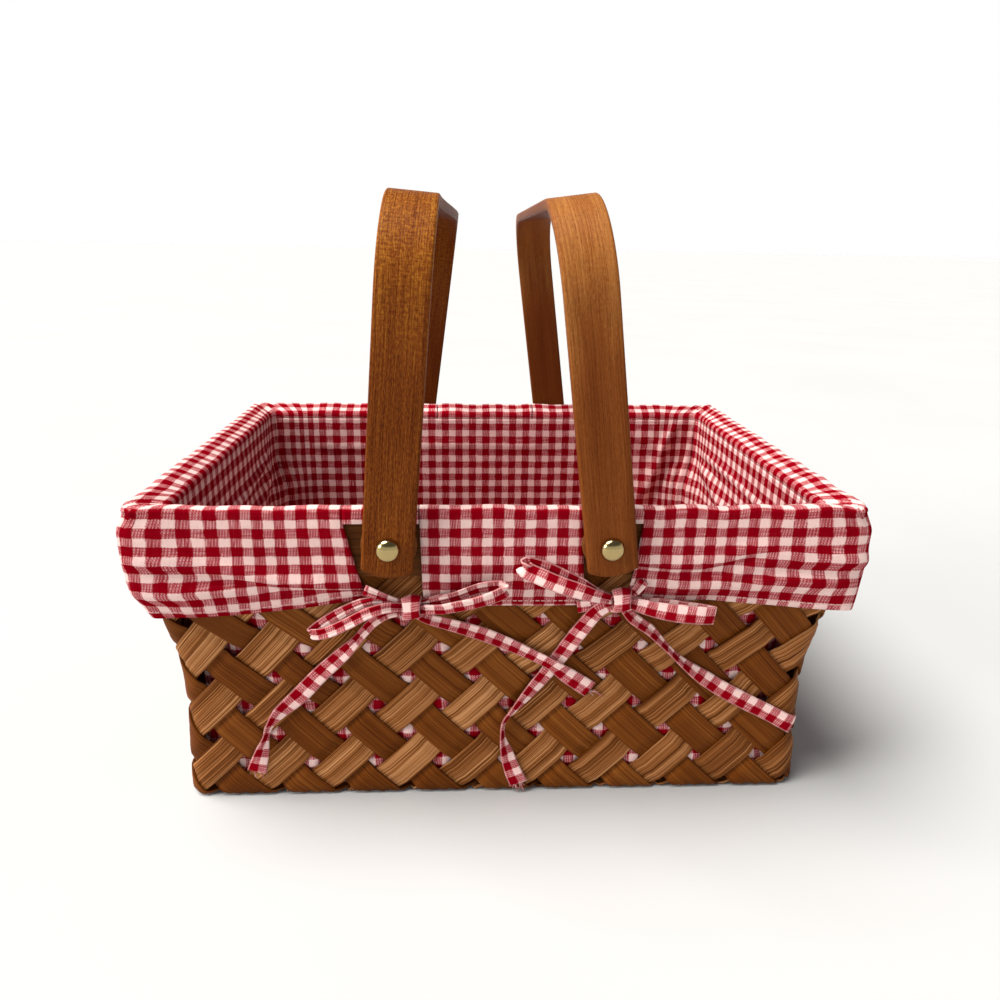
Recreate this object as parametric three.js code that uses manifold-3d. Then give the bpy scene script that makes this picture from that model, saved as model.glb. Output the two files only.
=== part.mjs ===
// Picnic basket: a plaited wooden body with a banded rim, two bent-wood carrying handles that
// swing on brass rivets, and a gingham liner whose cuffs hang over the rim and tie in bows.
// Millimetres, +Z up, origin on the floor under the middle, front towards -Y.
import * as THREE from "three";
import { mergeVertices } from "three/addons/utils/BufferGeometryUtils.js";
import Module from "manifold-3d";

const wasm = await Module();
wasm.setup();
const { clamp, degToRad, lerp, smoothstep } = THREE.MathUtils;

// Woven body
const BODY_WIDTH = 312; // across the ends, at the foot
const BODY_DEPTH = 215; // front to back, at the foot
const BODY_HEIGHT = 156; // floor to the top edge of the weave
const WEAVE_THICKNESS = 2.6;
const RIM_FLARE = 6; // how far each wall leans out between the foot and the rim
const FLARE_HEIGHT = 55; // leaning stretch of a wall, just under the rim bands
const FOOT_EDGE_RADIUS = 4; // rounding between the base and the walls
const FOOT_CORNER_RADIUS = 10; // upright corners at the foot
const RIM_CORNER_RADIUS = 5; // upright corners of every layer at the rim

// Rim bands and their nails
const BAND_HEIGHT = 32;
const BAND_RISE = 1; // outer band above the weave
const INNER_BAND_DROP = 4; // inner band below the outer one, so the cloth slopes in
const OUTER_BAND_THICKNESS = 3;
const INNER_BAND_THICKNESS = 2.5;
const NAIL_DIAMETER = 1.6;
const NAIL_HEAD_DIAMETER = 4.4;
const NAIL_HEAD_HEIGHT = 0.8;
const NAIL_CLINCH = 0.6; // nail point showing inside the inner band
const LONG_SIDE_NAIL_INSET = 38; // from the ends of the body to the outer nails
const SHORT_SIDE_NAIL_INSET = 50; // from the front and back to the nails of the ends

// Handles and their rivets
const HANDLE_WIDTH = 23;
const HANDLE_THICKNESS = 5;
const HANDLE_REACH = 149.5; // pivot to the top of the arch
const HANDLE_BEND_RADIUS = 41.5; // outside of the bends
const HANDLE_TAIL = 13; // leg end below the pivot
const HANDLE_END_CROWN = 3; // how far the rounded leg end bulges
const HANDLE_SPACING_SHARE = 0.3173; // pivot to pivot, of the body's width
const HANDLE_SHIFT = -1.5; // middle of the two handles, left of the body's middle
const LEFT_LEAN = degToRad(4.6); // each handle leans in at rest
const RIGHT_LEAN = degToRad(7.6);
const LEFT_TWIST = degToRad(2.8); // the left handle's back leg leans this much more than its front one
const PIVOT_DROP = 15.5; // rim top to the pivots
const SPACER_DIAMETER = 25;
const RIVET_HEAD_DIAMETER = 10.8;
const RIVET_HEAD_HEIGHT = 4;
const RIVET_DIAMETER = 4;
const RIVET_TAIL_DIAMETER = 7;
const RIVET_TAIL_HEIGHT = 1.4;
const WASHER_DIAMETER = 11;
const WASHER_THICKNESS = 0.8;

// Liner, cuffs and ties
const CLOTH_THICKNESS = 1.2;
const CUFF_DROP = 50; // rim top to hem
const CUFF_DRAW_IN = 5.5; // how far the ties pull the hem towards the wall
const CUFF_DRAW_HEIGHT = 22; // stretch above the hem that curves in
const FOLD_DEPTH = 1.4; // main folds of a cuff, ridge to valley
const FOLD_PITCH = 40;
const FOLD_FADE = 24; // a fold dies out this far from a notch
const LINER_LIP = 4; // cuff turned down inside the rim
const LINER_SLACK = 1; // liner to the inside of the weave
const LINER_FOOT_INSET = 7; // seam of the liner's base, in from the body's foot
const NOTCH_TOP_WIDTH = 31; // cut-outs of the cuffs round the handle legs
const NOTCH_FOOT_WIDTH = 19;
const TAPE_WIDTH = 10;
const TAPE_THICKNESS = 1.6; // folded tape
const KNOT_WIDTH = 11;
const KNOT_HEIGHT = 12;
const KNOT_DEPTH = 9;
const TAB_REACH = 17; // tie sewn to the cuff, from the knot
const LOOP_DEPTH = 5; // front run of a loop to its back run
const LOOP_ROOT_SHARE = 0.5; // width of a loop where the knot gathers it
const TAIL_ROOT_SHARE = 0.6; // width of a tail where it leaves the knot
const TAIL_FLAT = 0.3; // share of a tail's length where it lies at its full width
const LEFT_KNOT_ASIDE = 7.5; // knot to the pivot above it
const RIGHT_KNOT_ASIDE = 5;
const LEFT_KNOT_RISE = 3.5; // knot above the cuff's hem
const RIGHT_KNOT_RISE = 6;

// Clearances
const GAP = 0.3; // between pieces that touch
const PIN_CLEARANCE = 0.3; // round a rivet or a nail, each side
const SWING_CLEARANCE = 0.6; // handle leg to the ridges of a cuff
const LIP_CLEARANCE = 0.6; // cloth above a spacer
const TAB_CLEARANCE = 0.6; // sewn end of a tie to the cuff's soft face

// Smoothness of round stretches
const CORNER_STEPS = 6;
const EDGE_STEPS = 3;
const FOLD_STEPS = 6; // stations to one fold
const CUFF_ROWS = [0, 0.16, 0.42]; // heights between the hem and the shoulder, as shares
const ROUND_STEPS = 12;
const NAIL_STEPS = 6;
const BEND_STEPS = 8;
const LOOP_STEPS = 14;
const TAIL_STEPS = 16;

// Half sizes of the weave's outer face at the rim, from which the rim's layers are counted outwards
const RIM_HALF_WIDTH = BODY_WIDTH / 2 + RIM_FLARE;
const RIM_HALF_DEPTH = BODY_DEPTH / 2 + RIM_FLARE;
const BAND_TOP = BODY_HEIGHT + BAND_RISE;
const BAND_FOOT = BAND_TOP - BAND_HEIGHT;
const INNER_BAND_TOP = BAND_TOP - INNER_BAND_DROP;
const FLARE_START = BAND_FOOT - FLARE_HEIGHT;
const PIVOT_HEIGHT = BAND_TOP - PIVOT_DROP;
const HANDLE_SPACING = BODY_WIDTH * HANDLE_SPACING_SHARE;
const OUTER_BAND_FACE = GAP + OUTER_BAND_THICKNESS;
const CUFF_INSIDE = OUTER_BAND_FACE + GAP + NAIL_HEAD_HEIGHT + GAP;
const CUFF_OUTSIDE = CUFF_INSIDE + CLOTH_THICKNESS;
const HANDLE_INSIDE = CUFF_OUTSIDE + FOLD_DEPTH + SWING_CLEARANCE;
const HANDLE_OUTSIDE = HANDLE_INSIDE + HANDLE_THICKNESS;
const SPACER_INSIDE = OUTER_BAND_FACE + GAP;
const SPACER_OUTSIDE = HANDLE_INSIDE - GAP;
const HEAD_INSIDE = HANDLE_OUTSIDE + GAP;
const INNER_BAND_OUTSIDE = -WEAVE_THICKNESS - GAP;
const INNER_BAND_FACE = INNER_BAND_OUTSIDE - INNER_BAND_THICKNESS;
const WASHER_OUTSIDE = INNER_BAND_FACE - GAP;
const WASHER_FACE = WASHER_OUTSIDE - WASHER_THICKNESS;
const TAIL_OUTSIDE = WASHER_FACE - GAP;
const TAIL_FACE = TAIL_OUTSIDE - RIVET_TAIL_HEIGHT;
const LINER_OUTSIDE = TAIL_FACE - GAP;
const LINER_INSIDE = LINER_OUTSIDE - CLOTH_THICKNESS;
const CUFF_UNDER_TOP = BAND_TOP + GAP;
const CUFF_TOP = CUFF_UNDER_TOP + CLOTH_THICKNESS;
const HEM_HEIGHT = CUFF_TOP - CUFF_DROP;
const LIP_FOOT = CUFF_TOP - LINER_LIP;
const NOTCH_HEM = PIVOT_HEIGHT + SPACER_DIAMETER / 2 + LIP_CLEARANCE;
const LINER_BASE_TOP = WEAVE_THICKNESS + GAP + CLOTH_THICKNESS;
const LINER_FOOT = LINER_BASE_TOP + GAP;
const LEFT_PIVOT = HANDLE_SHIFT - HANDLE_SPACING / 2;
const RIGHT_PIVOT = HANDLE_SHIFT + HANDLE_SPACING / 2;

const STRIP_WOOD = { color: 0x8a5a2e, roughness: 0.6, metalness: 0 };
const BAND_WOOD = { color: 0x5b3417, roughness: 0.65, metalness: 0 };
const HANDLE_WOOD = { color: 0x96602f, roughness: 0.45, metalness: 0 };
const BRASS = { color: 0xc9ac5c, roughness: 0.22, metalness: 1 };
const STEEL = { color: 0x9a9a98, roughness: 0.4, metalness: 1 };
const GINGHAM = { color: 0xc2505c, roughness: 0.9, metalness: 0 };

const basket = new THREE.Group();

function addMesh(parent, name, geometry, finish) {
  const mesh = new THREE.Mesh(geometry, new THREE.MeshStandardMaterial(finish));
  mesh.name = name;
  parent.add(mesh);
}

// Joining and cutting of closed meshes

function toSolid(geometry) {
  const bare = geometry.index ? geometry.toNonIndexed() : geometry.clone();
  bare.deleteAttribute("normal");
  bare.deleteAttribute("uv");
  const merged = mergeVertices(bare, 1e-4);
  const vertProperties = new Float32Array(merged.attributes.position.array);
  const triVerts = new Uint32Array(merged.index.array);
  return new wasm.Manifold(new wasm.Mesh({ numProp: 3, vertProperties, triVerts }));
}

function fromSolid(solid) {
  const mesh = solid.getMesh();
  const geometry = new THREE.BufferGeometry();
  geometry.setAttribute("position", new THREE.BufferAttribute(mesh.vertProperties, 3));
  geometry.setIndex(new THREE.BufferAttribute(mesh.triVerts, 1));
  geometry.computeVertexNormals();
  return geometry;
}

// A closed solid between two matching grids of points, the outer and the inner skin of a sheet.
// A grid is a list of stations along the sheet, each a list of points across it.
function sheetSolid(outer, inner, closed) {
  const positions = [];
  const triangle = (a, b, c) => {
    const flat = a.equals(b) || b.equals(c) || c.equals(a);
    if (!flat) positions.push(...a, ...b, ...c);
  };
  const quad = (a, b, c, d) => {
    triangle(a, b, c);
    triangle(a, c, d);
  };
  const stations = outer.length;
  const last = outer[0].length - 1;
  const spans = closed ? stations : stations - 1;
  for (let i = 0; i < spans; i++) {
    const j = (i + 1) % stations;
    for (let k = 0; k < last; k++) {
      quad(outer[i][k], outer[j][k], outer[j][k + 1], outer[i][k + 1]);
      quad(inner[i][k + 1], inner[j][k + 1], inner[j][k], inner[i][k]);
    }
    quad(inner[i][0], inner[j][0], outer[j][0], outer[i][0]);
    quad(outer[i][last], outer[j][last], inner[j][last], inner[i][last]);
  }
  if (!closed) {
    const end = stations - 1;
    for (let k = 0; k < last; k++) {
      quad(outer[0][k], outer[0][k + 1], inner[0][k + 1], inner[0][k]);
      quad(inner[end][k], inner[end][k + 1], outer[end][k + 1], outer[end][k]);
    }
  }
  const geometry = new THREE.BufferGeometry();
  geometry.setAttribute("position", new THREE.Float32BufferAttribute(positions, 3));
  geometry.computeVertexNormals();
  return geometry;
}

// Points of a rounded rectangle at one height, anticlockwise from the front right corner
function roundedRing(halfWidth, halfDepth, radius, height) {
  const ring = [];
  for (let corner = 0; corner < 4; corner++) {
    const sideX = corner === 0 || corner === 1 ? 1 : -1;
    const sideY = corner === 1 || corner === 2 ? 1 : -1;
    for (let step = 0; step <= CORNER_STEPS; step++) {
      const angle = (corner - 1 + step / CORNER_STEPS) * (Math.PI / 2);
      const x = sideX * (halfWidth - radius) + radius * Math.cos(angle);
      const y = sideY * (halfDepth - radius) + radius * Math.sin(angle);
      ring.push(new THREE.Vector3(x, y, height));
    }
  }
  return ring;
}

// Rings stacked from the bottom up become one grid of stations
function stackRings(rings) {
  return rings[0].map((_, station) => rings.map((ring) => ring[station]));
}

function rimRing(out, height) {
  return roundedRing(RIM_HALF_WIDTH + out, RIM_HALF_DEPTH + out, RIM_CORNER_RADIUS, height);
}

// How far the body's skin stands out from its foot outline; skin 0 is outside
function wallReach(height, skin) {
  if (height < FOOT_EDGE_RADIUS) {
    const radius = FOOT_EDGE_RADIUS - skin;
    const below = Math.min(FOOT_EDGE_RADIUS - height, radius);
    return Math.sqrt(radius * radius - below * below) - FOOT_EDGE_RADIUS;
  }
  const share = (height - FLARE_START) / (BAND_FOOT - FLARE_START);
  return RIM_FLARE * clamp(share, 0, 1) - skin;
}

function bodyRing(height, skin) {
  const reach = wallReach(height, skin);
  const share = clamp((reach + skin) / RIM_FLARE, 0, 1);
  const upright = lerp(FOOT_CORNER_RADIUS, RIM_CORNER_RADIUS, share);
  const radius = upright - skin + Math.min(reach + skin, 0);
  return roundedRing(BODY_WIDTH / 2 + reach, BODY_DEPTH / 2 + reach, radius, height);
}

// Holes for the rivets and the rim nails, right through both opposite walls

function cylinderAlongY(diameter, length, x, z, sides) {
  const geometry = new THREE.CylinderGeometry(diameter / 2, diameter / 2, length, sides);
  geometry.translate(x, 0, z);
  return geometry;
}

const NAIL_HEIGHT = (BAND_TOP + BAND_FOOT) / 2;
const LONG_SIDE_NAILS = [-1, 0, 1].map((side) => side * (BODY_WIDTH / 2 - LONG_SIDE_NAIL_INSET));
const SHORT_SIDE_NAILS = [-1, 1].map((side) => side * (BODY_DEPTH / 2 - SHORT_SIDE_NAIL_INSET));

function drillHoles() {
  const past = 2 * (RIM_HALF_WIDTH + HEAD_INSIDE);
  const rivetHole = RIVET_DIAMETER + 2 * PIN_CLEARANCE;
  const nailHole = NAIL_DIAMETER + 2 * PIN_CLEARANCE;
  const holes = [];
  for (const x of [LEFT_PIVOT, RIGHT_PIVOT]) {
    holes.push(cylinderAlongY(rivetHole, past, x, PIVOT_HEIGHT, ROUND_STEPS));
  }
  for (const x of LONG_SIDE_NAILS) {
    holes.push(cylinderAlongY(nailHole, past, x, NAIL_HEIGHT, NAIL_STEPS));
  }
  for (const y of SHORT_SIDE_NAILS) {
    holes.push(cylinderAlongY(nailHole, past, -y, NAIL_HEIGHT, NAIL_STEPS).rotateZ(Math.PI / 2));
  }
  return holes.map(toSolid);
}

const rimHoles = drillHoles();

function drilled(geometry) {
  let solid = toSolid(geometry);
  for (const hole of rimHoles) solid = solid.subtract(hole);
  return fromSolid(solid);
}

// Woven body: base, rounded foot and walls as one plaited shell, open at the top

function wovenBody() {
  const skinRings = (skin) => {
    const rings = [];
    for (let step = 0; step <= EDGE_STEPS; step++) {
      const angle = (step / EDGE_STEPS) * (Math.PI / 2);
      const height = FOOT_EDGE_RADIUS - (FOOT_EDGE_RADIUS - skin) * Math.cos(angle);
      rings.push(bodyRing(height, skin));
    }
    const middle = new THREE.Vector3(0, 0, skin);
    rings.unshift(rings[0].map(() => middle));
    rings.push(bodyRing(FLARE_START, skin), bodyRing(BAND_FOOT, skin), bodyRing(BODY_HEIGHT, skin));
    return stackRings(rings);
  };
  return drilled(sheetSolid(skinRings(0), skinRings(WEAVE_THICKNESS), true));
}

addMesh(basket, "woven_body", wovenBody(), STRIP_WOOD);

// Rim bands: thin bent-wood hoops that clamp the top of the weave

function rimBand(outside, inside, top) {
  const outer = stackRings([rimRing(outside, BAND_FOOT), rimRing(outside, top)]);
  const inner = stackRings([rimRing(inside, BAND_FOOT), rimRing(inside, top)]);
  return drilled(sheetSolid(outer, inner, true));
}

addMesh(basket, "rim_outer_band", rimBand(OUTER_BAND_FACE, GAP, BAND_TOP), BAND_WOOD);
addMesh(basket, "rim_inner_band", rimBand(INNER_BAND_OUTSIDE, INNER_BAND_FACE, INNER_BAND_TOP), BAND_WOOD);

// A profile of [radius, outwards] pairs, innermost first, turned about a pin that points out of the wall
function turned(profile, sides) {
  const points = profile.map(([radius, out]) => new THREE.Vector2(radius, -out)).reverse();
  return new THREE.LatheGeometry(points, sides);
}

function turnedRing(outerRadius, innerRadius, inside, outside) {
  const profile = [
    [innerRadius, inside],
    [outerRadius, inside],
    [outerRadius, outside],
    [innerRadius, outside],
    [innerRadius, inside],
  ];
  return turned(profile, ROUND_STEPS);
}

// Frames on the four walls: -Y points out of the wall, the origin is on the weave's rim plane
function wallFrame(x, y, turn) {
  const frame = new THREE.Group();
  frame.position.set(x, y, 0);
  frame.rotation.z = turn;
  basket.add(frame);
  return frame;
}

const frontFrame = (x) => wallFrame(x, -RIM_HALF_DEPTH, 0);
const backFrame = (x) => wallFrame(x, RIM_HALF_DEPTH, Math.PI);
const rightFrame = (y) => wallFrame(RIM_HALF_WIDTH, y, Math.PI / 2);
const leftFrame = (y) => wallFrame(-RIM_HALF_WIDTH, y, -Math.PI / 2);

// Rim nails

function rimNail() {
  const shank = NAIL_DIAMETER / 2;
  const head = NAIL_HEAD_DIAMETER / 2;
  const profile = [
    [0, INNER_BAND_FACE - NAIL_CLINCH],
    [shank, INNER_BAND_FACE - NAIL_CLINCH],
    [shank, OUTER_BAND_FACE + GAP],
    [head, OUTER_BAND_FACE + GAP],
    [head / 2, OUTER_BAND_FACE + GAP + NAIL_HEAD_HEIGHT],
    [0, OUTER_BAND_FACE + GAP + NAIL_HEAD_HEIGHT],
  ];
  return turned(profile, NAIL_STEPS).translate(0, 0, NAIL_HEIGHT);
}

LONG_SIDE_NAILS.forEach((x, index) => {
  addMesh(frontFrame(x), `rim_nail_front_${index + 1}`, rimNail(), STEEL);
  addMesh(backFrame(x), `rim_nail_back_${index + 1}`, rimNail(), STEEL);
});
SHORT_SIDE_NAILS.forEach((y, index) => {
  addMesh(leftFrame(y), `rim_nail_left_${index + 1}`, rimNail(), STEEL);
  addMesh(rightFrame(y), `rim_nail_right_${index + 1}`, rimNail(), STEEL);
});

// Handles: a bent strip over the basket, front to back, riveted outside the rim

function handleArch() {
  const outside = RIM_HALF_DEPTH + HANDLE_OUTSIDE;
  const inside = RIM_HALF_DEPTH + HANDLE_INSIDE;
  const bendCentre = outside - HANDLE_BEND_RADIUS;
  const bendHeight = HANDLE_REACH - HANDLE_BEND_RADIUS;
  const insideBend = HANDLE_BEND_RADIUS - HANDLE_THICKNESS;
  const arch = new THREE.Shape();
  arch.moveTo(outside, -HANDLE_TAIL);
  arch.lineTo(outside, bendHeight);
  arch.absarc(bendCentre, bendHeight, HANDLE_BEND_RADIUS, 0, Math.PI / 2);
  arch.absarc(-bendCentre, bendHeight, HANDLE_BEND_RADIUS, Math.PI / 2, Math.PI);
  arch.lineTo(-outside, -HANDLE_TAIL);
  arch.lineTo(-inside, -HANDLE_TAIL);
  arch.lineTo(-inside, bendHeight);
  arch.absarc(-bendCentre, bendHeight, insideBend, Math.PI, Math.PI / 2, true);
  arch.absarc(bendCentre, bendHeight, insideBend, Math.PI / 2, 0, true);
  arch.lineTo(inside, -HANDLE_TAIL);
  const options = { depth: HANDLE_WIDTH, curveSegments: BEND_STEPS, bevelEnabled: false };
  const strip = new THREE.ExtrudeGeometry(arch, options);
  strip.translate(0, 0, -HANDLE_WIDTH / 2);
  const across = new THREE.Vector3(1, 0, 0);
  const deep = new THREE.Vector3(0, 1, 0);
  const up = new THREE.Vector3(0, 0, 1);
  strip.applyMatrix4(new THREE.Matrix4().makeBasis(deep, up, across));
  return strip;
}

// The outline of a leg seen from the front, with its rounded end
function legOutline() {
  const half = HANDLE_WIDTH / 2;
  const endRadius = (half * half + HANDLE_END_CROWN * HANDLE_END_CROWN) / (2 * HANDLE_END_CROWN);
  const endAngle = Math.asin(half / endRadius);
  const past = HANDLE_REACH + HANDLE_THICKNESS;
  const down = -Math.PI / 2;
  const outline = new THREE.Shape();
  outline.moveTo(half, past);
  outline.lineTo(-half, past);
  outline.absarc(0, endRadius - HANDLE_TAIL, endRadius, down - endAngle, down + endAngle);
  const depth = 2 * (RIM_HALF_DEPTH + HANDLE_OUTSIDE + HANDLE_THICKNESS);
  const options = { depth, curveSegments: BEND_STEPS, bevelEnabled: false };
  const block = new THREE.ExtrudeGeometry(outline, options);
  block.translate(0, 0, -depth / 2);
  block.rotateX(Math.PI / 2);
  return block;
}

// Turns the strip about its pivots, the more the nearer its back leg
function twisted(solid, twist) {
  const flat = RIM_HALF_DEPTH + HANDLE_OUTSIDE - HANDLE_BEND_RADIUS;
  return solid.refineToLength(2 * HANDLE_WIDTH).warp((point) => {
    const [x, y, z] = point;
    const angle = twist * smoothstep(y, -flat, flat);
    point[0] = x * Math.cos(angle) + z * Math.sin(angle);
    point[2] = z * Math.cos(angle) - x * Math.sin(angle);
  });
}

function handle(twist) {
  const past = 2 * (RIM_HALF_DEPTH + HEAD_INSIDE + HANDLE_THICKNESS);
  const hole = cylinderAlongY(RIVET_DIAMETER + 2 * PIN_CLEARANCE, past, 0, 0, ROUND_STEPS);
  const strip = toSolid(handleArch()).intersect(toSolid(legOutline()));
  const bored = strip.subtract(toSolid(hole));
  return fromSolid(twist === 0 ? bored : twisted(bored, twist));
}

function addHandle(name, pivot, lean, twist) {
  const frame = new THREE.Group();
  frame.position.set(pivot, 0, PIVOT_HEIGHT);
  frame.rotation.y = lean;
  basket.add(frame);
  addMesh(frame, name, handle(twist), HANDLE_WOOD);
}

addHandle("left_handle", LEFT_PIVOT, LEFT_LEAN, LEFT_TWIST);
addHandle("right_handle", RIGHT_PIVOT, -RIGHT_LEAN, 0);

// Pivots: a wooden spacer under each leg, a brass rivet through everything, a washer under its tail

function rivet() {
  const head = RIVET_HEAD_DIAMETER / 2;
  const shank = RIVET_DIAMETER / 2;
  const tail = RIVET_TAIL_DIAMETER / 2;
  const profile = [
    [0, TAIL_FACE],
    [tail, TAIL_FACE],
    [tail, TAIL_OUTSIDE],
    [shank, TAIL_OUTSIDE],
    [shank, HEAD_INSIDE],
  ];
  for (let step = 0; step <= EDGE_STEPS; step++) {
    const angle = (step / EDGE_STEPS) * (Math.PI / 2);
    const radius = step === EDGE_STEPS ? 0 : head * Math.cos(angle);
    profile.push([radius, HEAD_INSIDE + RIVET_HEAD_HEIGHT * Math.sin(angle)]);
  }
  return turned(profile, ROUND_STEPS).translate(0, 0, PIVOT_HEIGHT);
}

function addPivot(place, frame) {
  const hole = RIVET_DIAMETER / 2 + PIN_CLEARANCE;
  const spacer = turnedRing(SPACER_DIAMETER / 2, hole, SPACER_INSIDE, SPACER_OUTSIDE);
  const washer = turnedRing(WASHER_DIAMETER / 2, hole, WASHER_FACE, WASHER_OUTSIDE);
  addMesh(frame, `spacer_${place}`, spacer.translate(0, 0, PIVOT_HEIGHT), BAND_WOOD);
  addMesh(frame, `rivet_${place}`, rivet(), BRASS);
  addMesh(frame, `rivet_washer_${place}`, washer.translate(0, 0, PIVOT_HEIGHT), BRASS);
}

addPivot("front_left", frontFrame(LEFT_PIVOT));
addPivot("front_right", frontFrame(RIGHT_PIVOT));
addPivot("back_left", backFrame(LEFT_PIVOT));
addPivot("back_right", backFrame(RIGHT_PIVOT));

// Liner: a base panel and four wall panels, seamed at the corners

// Rings of the liner's walls from the base seam up, in from the body's foot or rim outline
function linerRings(layer) {
  const foot = -LINER_FOOT_INSET - layer;
  const wall = -WEAVE_THICKNESS - LINER_SLACK - layer;
  const footRing = (reach, height) =>
    roundedRing(BODY_WIDTH / 2 + reach, BODY_DEPTH / 2 + reach, FOOT_CORNER_RADIUS + reach, height);
  return [
    footRing(foot, LINER_FOOT),
    footRing(wall, LINER_FOOT + LINER_FOOT_INSET),
    footRing(wall, FLARE_START),
    rimRing(LINER_OUTSIDE - layer, LIP_FOOT - GAP),
  ];
}

// Wall panel from the middle of one corner to the middle of the next
function linerWall(corner) {
  const stations = 4 * (CORNER_STEPS + 1);
  const start = corner * (CORNER_STEPS + 1) + CORNER_STEPS / 2;
  const skin = (layer) => {
    const all = stackRings(linerRings(layer));
    const picked = [];
    for (let step = 0; step <= CORNER_STEPS + 1; step++) {
      picked.push(all[(start + step) % stations].map((point) => point.clone()));
    }
    for (const [end, next] of [[0, 1], [picked.length - 1, picked.length - 2]]) {
      picked[end].forEach((point, row) => {
        const along = picked[next][row].clone().sub(point).normalize();
        point.addScaledVector(along, GAP);
      });
    }
    return picked;
  };
  return sheetSolid(skin(0), skin(CLOTH_THICKNESS), false);
}

function linerBase() {
  const bottom = LINER_BASE_TOP - CLOTH_THICKNESS;
  const reach = -LINER_FOOT_INSET;
  const radius = FOOT_CORNER_RADIUS + reach;
  const ring = (height) => roundedRing(BODY_WIDTH / 2 + reach, BODY_DEPTH / 2 + reach, radius, height);
  const middle = (height) => ring(height).map(() => new THREE.Vector3(0, 0, height));
  const under = stackRings([middle(bottom), ring(bottom)]);
  const over = stackRings([middle(LINER_BASE_TOP), ring(LINER_BASE_TOP)]);
  return sheetSolid(under, over, true);
}

addMesh(basket, "liner_base", linerBase(), GINGHAM);
["right", "back", "left", "front"].forEach((side, corner) => {
  addMesh(basket, `liner_${side}_wall`, linerWall(corner), GINGHAM);
});

// Cuffs: cloth over the rim, hanging outside it in soft folds, with a notch for each handle leg

// The cuff's outer face before its folds: straight, then drawn in towards the hem
function cuffFace(height) {
  const low = clamp((HEM_HEIGHT + CUFF_DRAW_HEIGHT - height) / CUFF_DRAW_HEIGHT, 0, 1);
  return CUFF_OUTSIDE - CUFF_DRAW_IN * low * low;
}

// Outer and inner skins of a cuff, from its hem over the rim to the lip inside, as [out, height]
function cuffSection(hem, fold) {
  const drop = CUFF_TOP - hem;
  const shoulder = CUFF_TOP - CLOTH_THICKNESS;
  const heights = CUFF_ROWS.map((share) => hem + share * (shoulder - hem));
  const folded = (height) => cuffFace(height) + fold * ((CUFF_TOP - height) / drop);
  const outer = heights.map((height) => [folded(height), height]);
  const inner = heights.map((height) => [folded(height) - CLOTH_THICKNESS, height]);
  outer.push([CUFF_OUTSIDE, shoulder], [CUFF_OUTSIDE - CLOTH_THICKNESS, CUFF_TOP]);
  inner.push([CUFF_INSIDE, CUFF_UNDER_TOP], [CUFF_INSIDE, CUFF_UNDER_TOP]);
  outer.push([LINER_INSIDE, CUFF_TOP], [LINER_INSIDE, LIP_FOOT]);
  inner.push([LINER_OUTSIDE, CUFF_UNDER_TOP], [LINER_OUTSIDE, LIP_FOOT]);
  return { outer, inner };
}

// How far a notch's slanting edge has moved in from its top at a height
function notchSlant(height) {
  const share = clamp((NOTCH_HEM - height) / (NOTCH_HEM - HEM_HEIGHT), 0, 1);
  return (share * (NOTCH_TOP_WIDTH - NOTCH_FOOT_WIDTH)) / 2;
}

function foldAt(along, toNotch) {
  const fade = smoothstep(toNotch, 0, FOLD_FADE);
  return FOLD_DEPTH * fade * (0.5 - 0.5 * Math.cos((2 * Math.PI * along) / FOLD_PITCH));
}

// Even shares of a run, close enough for its folds
function evenShares(length) {
  const count = Math.max(1, Math.ceil((length * FOLD_STEPS) / FOLD_PITCH));
  return Array.from({ length: count + 1 }, (_, step) => step / count);
}

// A cuff from its stations, each with a place on the rim, a hem height, a fold and a pull along the rim
function cuffSolid(stations) {
  const skin = (side) =>
    stations.map((station) =>
      cuffSection(station.hem, station.fold)[side].map(([out, height]) => {
        const point = station.place(out);
        const slant = station.pull * notchSlant(height);
        return new THREE.Vector3(point.x + slant, point.y, height);
      }),
    );
  return sheetSolid(skin("outer"), skin("inner"), false);
}

// Places on the rim: where a layer lies, out from the weave's face. Every layer turns the corners at the
// same radius, so its straight runs end further along the further out it lies.
const longEnd = (out) => RIM_HALF_WIDTH + out - RIM_CORNER_RADIUS;
const sideEnd = (out) => RIM_HALF_DEPTH + out - RIM_CORNER_RADIUS;
const onLongRun = (sideY, start, share) => (out) =>
  new THREE.Vector2(lerp(start, longEnd(out), share), sideY * (RIM_HALF_DEPTH + out));
const onRight = (share) => (out) => new THREE.Vector2(RIM_HALF_WIDTH + out, share * sideEnd(out));
const onRightCorner = (sideY, angle) => (out) => {
  const x = longEnd(out) + RIM_CORNER_RADIUS * Math.cos(angle);
  const y = sideY * sideEnd(out) + RIM_CORNER_RADIUS * Math.sin(angle);
  return new THREE.Vector2(x, y);
};

// Pull of a station towards the notch, dying out along the cuff
function pullAt(toNotch) {
  return 1 - clamp(toNotch / FOLD_FADE, 0, 1);
}

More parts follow.
